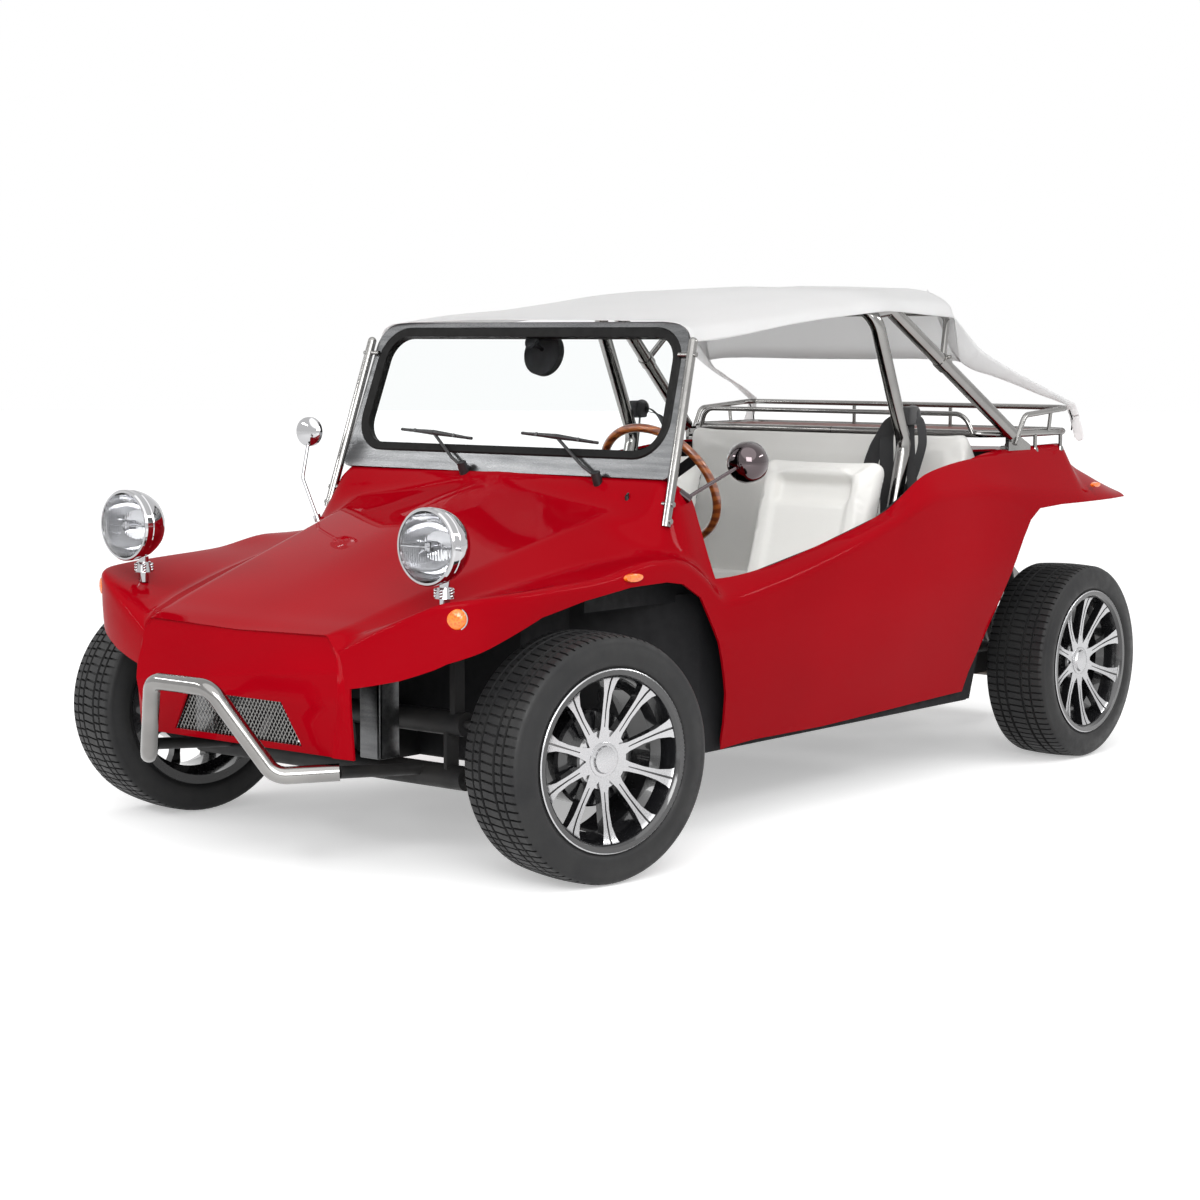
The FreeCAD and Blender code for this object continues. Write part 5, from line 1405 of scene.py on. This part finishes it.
def wiper_arms():
    """Spindles, arms and blades of the two wipers, and the washer nozzle."""
    bm = bmesh.new()
    out = SCREEN_OUT
    for place, (x, s) in WIPERS:
        pivot = Vector(place) * MM
        middle = screen_point(x, s, 20)
        elbow = pivot.lerp(middle, 0.3) + out * 0.012
        bar(bm, pivot + Vector((0, 0.01, -0.02)), pivot + Vector((0, -0.006, 0.014)), 0.011, 0.009)
        pipe(bm, [pivot + Vector((0, -0.004, 0.010)), elbow, middle], 0.0045, 0.02)
        ends = [screen_point(x + dx, s + ds, 12.5) for dx, ds in BLADE_ENDS]
        bar(bm, *ends, 0.0042, sides=8)
        hub = ends[0].lerp(ends[1], 0.5) + out * 0.010
        for end in ends:
            joint = end.lerp(hub, 0.45)
            bar(bm, end.lerp(hub, 0.12) + out * 0.001, hub, 0.0036, 0.0075, sides=8)
            bar(bm, joint, joint + out * 0.007, 0.0055, sides=8)
        bar(bm, pivot + Vector((0, 0.004, -0.010)), pivot + Vector((0, -0.010, 0.022)), 0.0135, 0.0125)
    bar(bm, (0.478, -0.736, 0.872), (0.478, -0.741, 0.892), 0.007, 0.0055)
    bar(bm, (0.478, -0.741, 0.892), (0.478, -0.734, 0.897), 0.003)
    return bm


def nose_plates():
    """Angle plates on both sides of the grille."""
    bm = bmesh.new()
    block(bm, (0.262, -1.500, 0.284), (0.330, -1.488, 0.476), 0.004)
    block(bm, (0.318, -1.500, 0.284), (0.330, -1.430, 0.476), 0.004)
    other_side(bm)
    return bm


def steering_rim():
    """Wooden ring with three flat spokes and a hub; faces 1 are metal."""
    bm = bmesh.new()
    ring = []
    for number in range(RING_POINTS):
        angle = TURN * number / RING_POINTS
        ring.append((RING_RADIUS * math.cos(angle), 0, RING_RADIUS * math.sin(angle)))
    pipe(bm, ring, RING_TUBE, cyclic=True)
    wood_faces = len(bm.faces)
    for angle in STEERING_SPOKES:
        spoke = bmesh.new()
        block(spoke, (0.024, -0.0015, -0.014), (0.172, 0.0015, 0.014), 0.001)
        turn = Matrix.Rotation(math.radians(angle), 3, "Y")
        bmesh.ops.rotate(spoke, cent=(0, 0, 0), matrix=turn, verts=spoke.verts)
        carry(bm, spoke)
    bar(bm, (0, 0.020, 0), (0, -0.010, 0), 0.034, 0.030)
    bar(bm, (0, -0.008, 0), (0, -0.018, 0), 0.026, 0.022)
    bm.faces.ensure_lookup_table()
    for face in bm.faces[wood_faces:]:
        face.material_index = 1
    place = Matrix.Translation(STEERING) @ Matrix.Rotation(STEERING_TILT, 4, "X")
    bmesh.ops.transform(bm, verts=bm.verts, matrix=place)
    return bm


class BUGGY_OT_fittings(bpy.types.Operator):
    """Door mirrors, wipers, nose plates and the wooden steering wheel"""
    bl_idname = "buggy.fittings"
    bl_label = "Fittings"

    def execute(self, context):
        piece(near_mirror(), "near_mirror", finish("dark_chrome"), stands_for=("door_mirrors",))
        piece(far_mirror(), "far_mirror", finish("chrome"))
        piece(wiper_arms(), "wiper_arms", finish("steel"), stands_for=("wipers",))
        piece(nose_plates(), "nose_plates", finish("silver"))
        piece(steering_rim(), "steering_rim", [finish("rim_wood"), finish("steel")],
              body="steering_wheel", stands_for=("steering_wheel",))
        return {"FINISHED"}


# Cushions of the seats and the bench: side views in millimetres
SEAT_SIDE = (
    (-150, 330), (-165, 500), (-140, 535), (-100, 545), (190, 490), (215, 520), (227, 560), (301, 812),
    (308, 835), (322, 880), (328, 900), (338, 930), (360, 948), (392, 940), (405, 915), (310, 480),
    (290, 330),
)
BENCH_SIDE = (
    (490, 400), (480, 540), (510, 572), (560, 580), (800, 535), (818, 560), (832, 985), (842, 1008),
    (868, 1010), (880, 990), (944, 905), (944, 650), (770, 430), (750, 400),
)
# Sunk panels: (first Y, first Z, last Y, last Z) and how far the panel is pushed in, in metres
SEAT_RECESS = (
    ((-0.160, 0.488, 0.200, 0.600), (0, 0, -0.020)),
    ((0.205, 0.515, 0.305, 0.820), (0, 0.012, -0.003)),
    ((0.306, 0.825, 0.325, 0.890), (0, 0.034, -0.008)),
)
BENCH_RECESS = (
    ((0.480, 0.530, 0.840, 0.600), (0, 0, -0.012)),
    ((0.840, 0.555, 0.884, 0.990), (0, 0.012, 0)),
)
SEAT_PANEL = 0.66
BENCH_PANEL = 0.9
PANEL_SEAM = 0.06
CUSHION_EDGE = 0.026
SEAT_PLACE = 0.330
SEAT_HALF = 0.208
SEAT_VOXEL = 0.0065
BENCH_HALF = 0.532
BENCH_VOXEL = 0.009
BENCH_SWELL = 0.8
SMOOTHING = (0.6, 8)
PRESSURE = 4
SIM_FRAMES = 20


def upholstered(name, side_view, middle, half, recess, panel, stands_for):
    """A padded block from its side view: rounded, with sunk panels."""
    bm = bmesh.new()
    columns = [-1.0, -panel, -panel + PANEL_SEAM, 0.0, panel - PANEL_SEAM, panel, 1.0]
    face = bm.faces.new([bm.verts.new((middle - half, y * MM, z * MM)) for y, z in side_view])
    front = [face]
    for low, high in zip(columns, columns[1:]):
        grown = bmesh.ops.extrude_face_region(bm, geom=front)["geom"]
        verts = [item for item in grown if isinstance(item, bmesh.types.BMVert)]
        bmesh.ops.translate(bm, vec=((high - low) * half, 0, 0), verts=verts)
        bmesh.ops.delete(bm, geom=[f for f in front if f is not face], context="FACES_ONLY")
        front = [item for item in grown if isinstance(item, bmesh.types.BMFace)]
    bmesh.ops.recalc_face_normals(bm, faces=bm.faces)
    ends = [edge for edge in bm.edges if all(abs(abs(v.co.x - middle) - half) < 1e-5 for v in edge.verts)]
    bmesh.ops.bevel(bm, geom=ends, offset=CUSHION_EDGE, offset_type="OFFSET", affect="EDGES", segments=4,
                    profile=0.5, material=-1)
    for vert in bm.verts:
        if abs(vert.co.x - middle) < panel * half - 0.001:
            for (y0, z0, y1, z1), push in recess:
                if y0 <= vert.co.y <= y1 and z0 <= vert.co.z <= z1:
                    vert.co += Vector(push)
    bmesh.ops.triangulate(bm, faces=[f for f in bm.faces if len(f.verts) > 4])
    return piece(bm, name, finish("vinyl"), stands_for=stands_for, sharp=180)


def soften(obj, voxel, swell):
    """Remeshes a block and swells it by cloth pressure, each point by no more than the cap."""
    remesh = obj.modifiers.new("remesh", "REMESH")
    remesh.mode, remesh.voxel_size = "VOXEL", voxel
    settle(obj)
    smooth = obj.modifiers.new("smooth", "SMOOTH")
    smooth.factor, smooth.iterations = SMOOTHING
    settle(obj)
    before = [vert.co.copy() for vert in obj.data.vertices]
    cloth = obj.modifiers.new("cloth", "CLOTH")
    cloth.settings.use_pressure = True
    cloth.settings.uniform_pressure_force = PRESSURE
    cloth.settings.effector_weights.gravity = 0
    cloth.settings.quality = 5
    scene = bpy.context.scene
    for number in range(1, SIM_FRAMES + 1):
        scene.frame_set(number)
    settle(obj)
    scene.frame_set(1)
    for vert, old in zip(obj.data.vertices, before):
        step = vert.co - old
        if step.length > swell:
            vert.co = old + step.normalized() * swell


class BUGGY_OT_seats(bpy.types.Operator):
    """Two bucket seats and the rear bench in white vinyl"""
    bl_idname = "buggy.seats"
    bl_label = "Cushioned seats"

    def execute(self, context):
        swell = context.scene.buggy_trim.swell
        for label, side in SIDES:
            seat = upholstered(f"seat_pad_{label}", SEAT_SIDE, side * SEAT_PLACE, SEAT_HALF, SEAT_RECESS,
                               SEAT_PANEL, (f"seat_{label}",))
            soften(seat, SEAT_VOXEL, swell)
            smooth_again(seat, 180)
            seat.data.materials.append(finish("back_vinyl"))
            for face in seat.data.polygons:
                face.material_index = 1 if face.normal.y > 0.35 and face.center.y > 0.25 else 0
        bench = upholstered("bench_pad", BENCH_SIDE, 0.0, BENCH_HALF, BENCH_RECESS, BENCH_PANEL,
                            ("rear_bench",))
        soften(bench, BENCH_VOXEL, swell * BENCH_SWELL)
        smooth_again(bench, 180)
        return {"FINISHED"}


# Belts: centre lines of the hanging straps in millimetres, and their widths
BELT_LINES = (
    (((505, 566, 1078), (478, 565, 1074), (443, 562, 1056), (412, 562, 1013), (388, 560, 971),
      (372, 548, 900), (368, 530, 780), (380, 520, 660), (392, 530, 590), (400, 580, 584)), 44),
    (((500, 572, 1066), (433, 572, 1050), (418, 570, 996), (421, 570, 892), (424, 570, 775), (430, 566, 640),
      (440, 572, 588), (450, 620, 578)), 42),
    (((506, 556, 1068), (510, 553, 998), (516, 551, 939), (530, 551, 780), (552, 551, 600), (562, 551, 400),
      (566, 551, 262)), 30),
    (((520, 560, 1072), (534, 560, 1064), (545, 560, 1040), (550, 560, 996), (526, 562, 913), (484, 566, 814),
      (470, 566, 700), (474, 566, 600), (480, 600, 582)), 26),
)
STRAP_WIDE = Vector((0.774, 0.633, 0))
STRAP_THICKNESS = 0.0014
TONGUES = ((0.400, 0.592, 0.580), (0.450, 0.634, 0.572))
TONGUE_HALF = 0.024


def smooth_line(points, steps=8):
    """Points along a smooth line through the given ones."""
    places = list(range(len(points)))
    rows = [[point[axis] for point in points] for axis in range(3)]
    tilts = [slopes(places, values) for values in rows]
    return [Vector([follow(places, values, tilt, step / steps) for values, tilt in zip(rows, tilts)])
            for step in range(steps * (len(points) - 1) + 1)]


def ribbon(bm, points, width):
    """A flat strap along a smooth line of points in millimetres."""
    line = smooth_line(points)
    strap = bmesh.new()
    bmesh.ops.create_grid(strap, x_segments=2, y_segments=len(line) - 1, size=1)
    for vert in strap.verts:
        share, row = vert.co.x, round((vert.co.y + 1) / 2 * (len(line) - 1))
        vert.co = (line[row] + STRAP_WIDE * share * width / 2) * MM
    bmesh.ops.solidify(strap, geom=strap.faces[:], thickness=STRAP_THICKNESS)
    bmesh.ops.recalc_face_normals(strap, faces=strap.faces)
    carry(bm, strap)


class BUGGY_OT_belts(bpy.types.Operator):
    """Black webbing, reels and anchors of the front belts"""
    bl_idname = "buggy.belts"
    bl_label = "Belts"

    def execute(self, context):
        bm = bmesh.new()
        block(bm, (0.489, 0.520, 1.044), (0.531, 0.574, 1.098), 0.007)
        ball(bm, (0.510, 0.568, 1.074), 0.026, (1.0, 0.8, 1.05))
        for points, width in BELT_LINES:
            ribbon(bm, points, width)
        block(bm, (0.553, 0.530, 0.227), (0.579, 0.573, 0.268), 0.004)
        for x, y, z in TONGUES:
            block(bm, (x - TONGUE_HALF, y - 0.030, z), (x + TONGUE_HALF, y + 0.014, z + 0.010), 0.003)
        other_side(bm)
        piece(bm, "belt_straps", finish("webbing"), stands_for=("seat_belts",))
        return {"FINISHED"}


# Canopy: half sections at stations along Y, and the two edges of its rear strips, in millimetres
CANOPY_STATIONS = (
    (-576, (562, 1285), (548, 1322), (500, 1341), (0, 1345)),
    (-480, (558, 1290), (546, 1330), (480, 1352), (0, 1358)),
    (-100, (552, 1335), (540, 1362), (440, 1390), (0, 1402)),
    (300, (547, 1370), (531, 1402), (440, 1433), (0, 1447)),
    (380, (545, 1374), (529, 1407), (430, 1438), (0, 1450)),
    (600, (536, 1366), (520, 1406), (410, 1441), (0, 1454)),
    (775, (522, 1358), (505, 1402), (420, 1446), (0, 1460)),
    (800, (512, 1328), (496, 1364), (415, 1402), (0, 1414)),
    (885, (478, 1226), (462, 1230), (400, 1236), (0, 1232)),
)
CANOPY_EASE = (30, 90)
STRIP_SAG = 9
CANOPY_WALL = 0.0016
STRIP_ROWS = (
    ((425, 775, 1444), (522, 775, 1362)), ((476, 885, 1229), (558, 885, 1258)),
    ((526, 1035, 1177), (582, 1035, 1198)), ((556, 1175, 1137), (600, 1175, 1149)),
    ((590, 1290, 1103), (630, 1290, 1105)),
    ((598, 1316, 1096), (636, 1316, 1094)), ((606, 1328, 1066), (644, 1328, 1060)),
    ((622, 1327, 1016), (660, 1327, 1010)), ((632, 1322, 990), (664, 1322, 984)),
)


class BUGGY_OT_canopy(bpy.types.Operator):
    """White canopy with its rear side strips"""
    bl_idname = "buggy.canopy"
    bl_label = "Canopy"

    def execute(self, context):
        high = context.scene.buggy_trim.wrinkle
        bm, _ = lofted(CANOPY_STATIONS, CANOPY_EASE, 22.0)
        inner, outer = (smooth_line([row[end] for row in STRIP_ROWS], 10) for end in (0, 1))
        for side in (-1, 1):
            strip = bmesh.new()
            bmesh.ops.create_grid(strip, x_segments=8, y_segments=len(inner) - 1, size=1)
            for vert in strip.verts:
                share, row = (vert.co.x + 1) / 2, round((vert.co.y + 1) / 2 * (len(inner) - 1))
                place = inner[row].lerp(outer[row], share)
                place.z -= math.sin(share * math.pi) * STRIP_SAG
                vert.co = Vector((side * place.x, place.y, place.z)) * MM
            carry(bm, strip)
        bm.normal_update()
        for vert in bm.verts:
            lift = noise.noise(Vector((vert.co.x * 3, vert.co.y * 5, vert.co.z * 3)))
            loose = max(0.0, min(1.0, (vert.co.y - 0.70) / 0.2))
            fold = noise.noise(Vector((vert.co.x * 26, vert.co.y * 7, vert.co.z * 10)))
            vert.co += vert.normal * high * (lift * (1 - loose) + fold * loose)
        for face in bm.faces:
            if face.normal.z < 0:
                face.normal_flip()
        canopy = piece(bm, "canopy_sheet", finish("cloth"), stands_for=("canopy",), sharp=180,
                       right_way=False)
        wall = canopy.modifiers.new("wall", "SOLIDIFY")
        wall.thickness, wall.offset = CANOPY_WALL, -1
        settle(canopy)
        return {"FINISHED"}


# Camera, floor and studio light
CAMERA_PLACE = (4.5647, -5.8436, 1.2860)
CAMERA_YAW = math.radians(-39.306)
CAMERA_PITCH = math.radians(5.341)
CAMERA_ROLL = math.radians(0.134)
CAMERA_LENS = 76.42
CAMERA_SHIFT = (0.00065, -0.01708)
CAMERA_SENSOR = 36.0
CAMERA_REACH = 200.0
FLOOR_RADIUS = 40.0
FLOOR_GLOW = 0.4
SUN_WAY = Vector((-0.45, 0.55, -0.85))
SUN_WIDTH = math.radians(80)
FRONT_LIGHT = ((3.8, -4.8, 2.6), (0, 0, 0.7), (3.2, 2.2))
LEFT_PANEL = ((4.6, 2.6, 3.4), (0.5, 0.2, 0.6), (3.2, 0.35))
RIGHT_PANEL = ((-3.4, -4.8, 3.2), (0, -1.2, 0.6), (3.0, 0.35))


def seen_rays(tree):
    """One for camera, mirror and glass rays, nought for the rays that light things."""
    path = tree.nodes.new("ShaderNodeLightPath")
    total = path.outputs["Is Camera Ray"]
    for other in ("Is Glossy Ray", "Is Transmission Ray"):
        node = tree.nodes.new("ShaderNodeMath")
        node.operation = "MAXIMUM"
        tree.links.new(total, node.inputs[0])
        tree.links.new(path.outputs[other], node.inputs[1])
        total = node.outputs[0]
    return total


def add_lamp(name, place, target, size, power):
    data = bpy.data.lights.new(name, "AREA")
    data.shape, data.size, data.size_y, data.energy = "RECTANGLE", size[0], size[1], power
    obj = bpy.data.objects.new(name, data)
    bpy.context.scene.collection.objects.link(obj)
    obj.location = place
    obj.rotation_euler = (Vector(target) - Vector(place)).to_track_quat("-Z", "Y").to_euler()


def studio_floor(colour):
    """A wide disc that glows a little for the camera, so that it stays pale."""
    bm = bmesh.new()
    bmesh.ops.create_circle(bm, cap_ends=True, segments=96, radius=FLOOR_RADIUS)
    mesh = bpy.data.meshes.new("floor")
    bm.to_mesh(mesh)
    bm.free()
    floor = bpy.data.objects.new("floor", mesh)
    bpy.context.scene.collection.objects.link(floor)
    paint = bpy.data.materials.new("Studio floor")
    paint.use_nodes = True
    tree = paint.node_tree
    shader = tree.nodes["Principled BSDF"]
    shader.inputs["Base Color"].default_value = (*colour, 1)
    shader.inputs["Roughness"].default_value = 0.9
    shader.inputs["Specular IOR Level"].default_value = 0.0
    glow = tree.nodes.new("ShaderNodeMath")
    glow.operation = "MULTIPLY"
    glow.inputs[1].default_value = FLOOR_GLOW
    tree.links.new(seen_rays(tree), glow.inputs[0])
    shader.inputs["Emission Color"].default_value = (1, 1, 1, 1)
    tree.links.new(glow.outputs[0], shader.inputs["Emission Strength"])
    mesh.materials.append(paint)


def studio_world(sky):
    """White for the camera, and a softer white that fades towards the floor for the light."""
    world = bpy.data.worlds.new("Studio")
    bpy.context.scene.world = world
    world.use_nodes = True
    nodes, links = world.node_tree.nodes, world.node_tree.links
    back = nodes["Background"]
    back.inputs["Color"].default_value = (1, 1, 1, 1)
    place = nodes.new("ShaderNodeTexCoord")
    split = nodes.new("ShaderNodeSeparateXYZ")
    links.new(place.outputs["Generated"], split.inputs[0])
    fade = nodes.new("ShaderNodeMapRange")
    set_range(fade, 0.0, 0.8, sky * 0.5, sky)
    links.new(split.outputs["Z"], fade.inputs["Value"])
    blend = nodes.new("ShaderNodeMix")
    links.new(seen_rays(world.node_tree), blend.inputs["Factor"])
    links.new(fade.outputs["Result"], blend.inputs["A"])
    blend.inputs["B"].default_value = 1.0
    links.new(blend.outputs["Result"], back.inputs["Strength"])


def studio_lamps(studio):
    wide = bpy.data.lights.new("overhead", "SUN")
    wide.energy, wide.angle = studio.overhead, SUN_WIDTH
    lamp = bpy.data.objects.new("overhead", wide)
    bpy.context.scene.collection.objects.link(lamp)
    lamp.rotation_euler = SUN_WAY.to_track_quat("-Z", "Y").to_euler()
    add_lamp("front light", *FRONT_LIGHT, studio.front)
    add_lamp("left panel", *LEFT_PANEL, studio.panels)
    add_lamp("right panel", *RIGHT_PANEL, studio.panels)


def photo_camera():
    """The camera at the place, angle and lens that the photograph was taken with."""
    scene = bpy.context.scene
    data = bpy.data.cameras.new("camera")
    camera = bpy.data.objects.new("camera", data)
    scene.collection.objects.link(camera)
    yaw, pitch, roll = CAMERA_YAW, CAMERA_PITCH, CAMERA_ROLL
    look = Vector((math.sin(yaw) * math.cos(pitch), math.cos(yaw) * math.cos(pitch), -math.sin(pitch)))
    level = Vector((math.cos(yaw), -math.sin(yaw), 0))
    upright = level.cross(look)
    right = level * math.cos(roll) + upright * math.sin(roll)
    rise = upright * math.cos(roll) - level * math.sin(roll)
    turned = Matrix((right, rise, -look)).transposed().to_4x4()
    camera.matrix_world = Matrix.Translation(CAMERA_PLACE) @ turned
    data.sensor_width, data.lens = CAMERA_SENSOR, CAMERA_LENS
    data.shift_x, data.shift_y = CAMERA_SHIFT
    data.clip_end = CAMERA_REACH
    scene.camera = camera


class BUGGY_OT_stage(bpy.types.Operator):
    """Floor, studio lamps, world and the camera at the photograph's angle"""
    bl_idname = "buggy.stage"
    bl_label = "Stage"

    def execute(self, context):
        studio = context.scene.buggy_studio
        context.scene.view_settings.view_transform = "Standard"
        studio_floor(studio.floor)
        studio_world(studio.sky)
        studio_lamps(studio)
        photo_camera()
        return {"FINISHED"}


class BUGGY_PT_panel(bpy.types.Panel):
    bl_label = "Dune buggy"
    bl_idname = "BUGGY_PT_panel"
    bl_space_type = "VIEW_3D"
    bl_region_type = "UI"
    bl_category = "Buggy"

    def draw(self, context):
        for operator in OPERATORS:
            self.layout.operator(operator.bl_idname)
        for name in SETTINGS:
            group = getattr(context.scene, name)
            for prop in group.bl_rna.properties.keys():
                if prop not in ("rna_type", "name"):
                    self.layout.prop(group, prop)


SETTINGS = {
    "buggy_paint": PaintSettings, "buggy_wheels": WheelSettings, "buggy_trim": TrimSettings,
    "buggy_studio": StudioSettings,
}
OPERATORS = (
    BUGGY_OT_dress, BUGGY_OT_body, BUGGY_OT_floor, BUGGY_OT_grille, BUGGY_OT_tubes, BUGGY_OT_wheels,
    BUGGY_OT_lamps, BUGGY_OT_seal, BUGGY_OT_fittings, BUGGY_OT_seats, BUGGY_OT_belts, BUGGY_OT_canopy,
    BUGGY_OT_stage,
)


def register():
    for name, group in SETTINGS.items():
        bpy.utils.register_class(group)
        setattr(bpy.types.Scene, name, bpy.props.PointerProperty(type=group))
    for item in OPERATORS + (BUGGY_PT_panel,):
        bpy.utils.register_class(item)


def unregister():
    for item in reversed(OPERATORS + (BUGGY_PT_panel,)):
        bpy.utils.unregister_class(item)
    for name, group in SETTINGS.items():
        delattr(bpy.types.Scene, name)
        bpy.utils.unregister_class(group)


def main():
    register()
    for operator in OPERATORS:
        group, name = operator.bl_idname.split(".")
        if getattr(getattr(bpy.ops, group), name)() != {"FINISHED"}:
            raise RuntimeError(operator.bl_label + " did not finish")


if __name__ == "__main__":
    main()
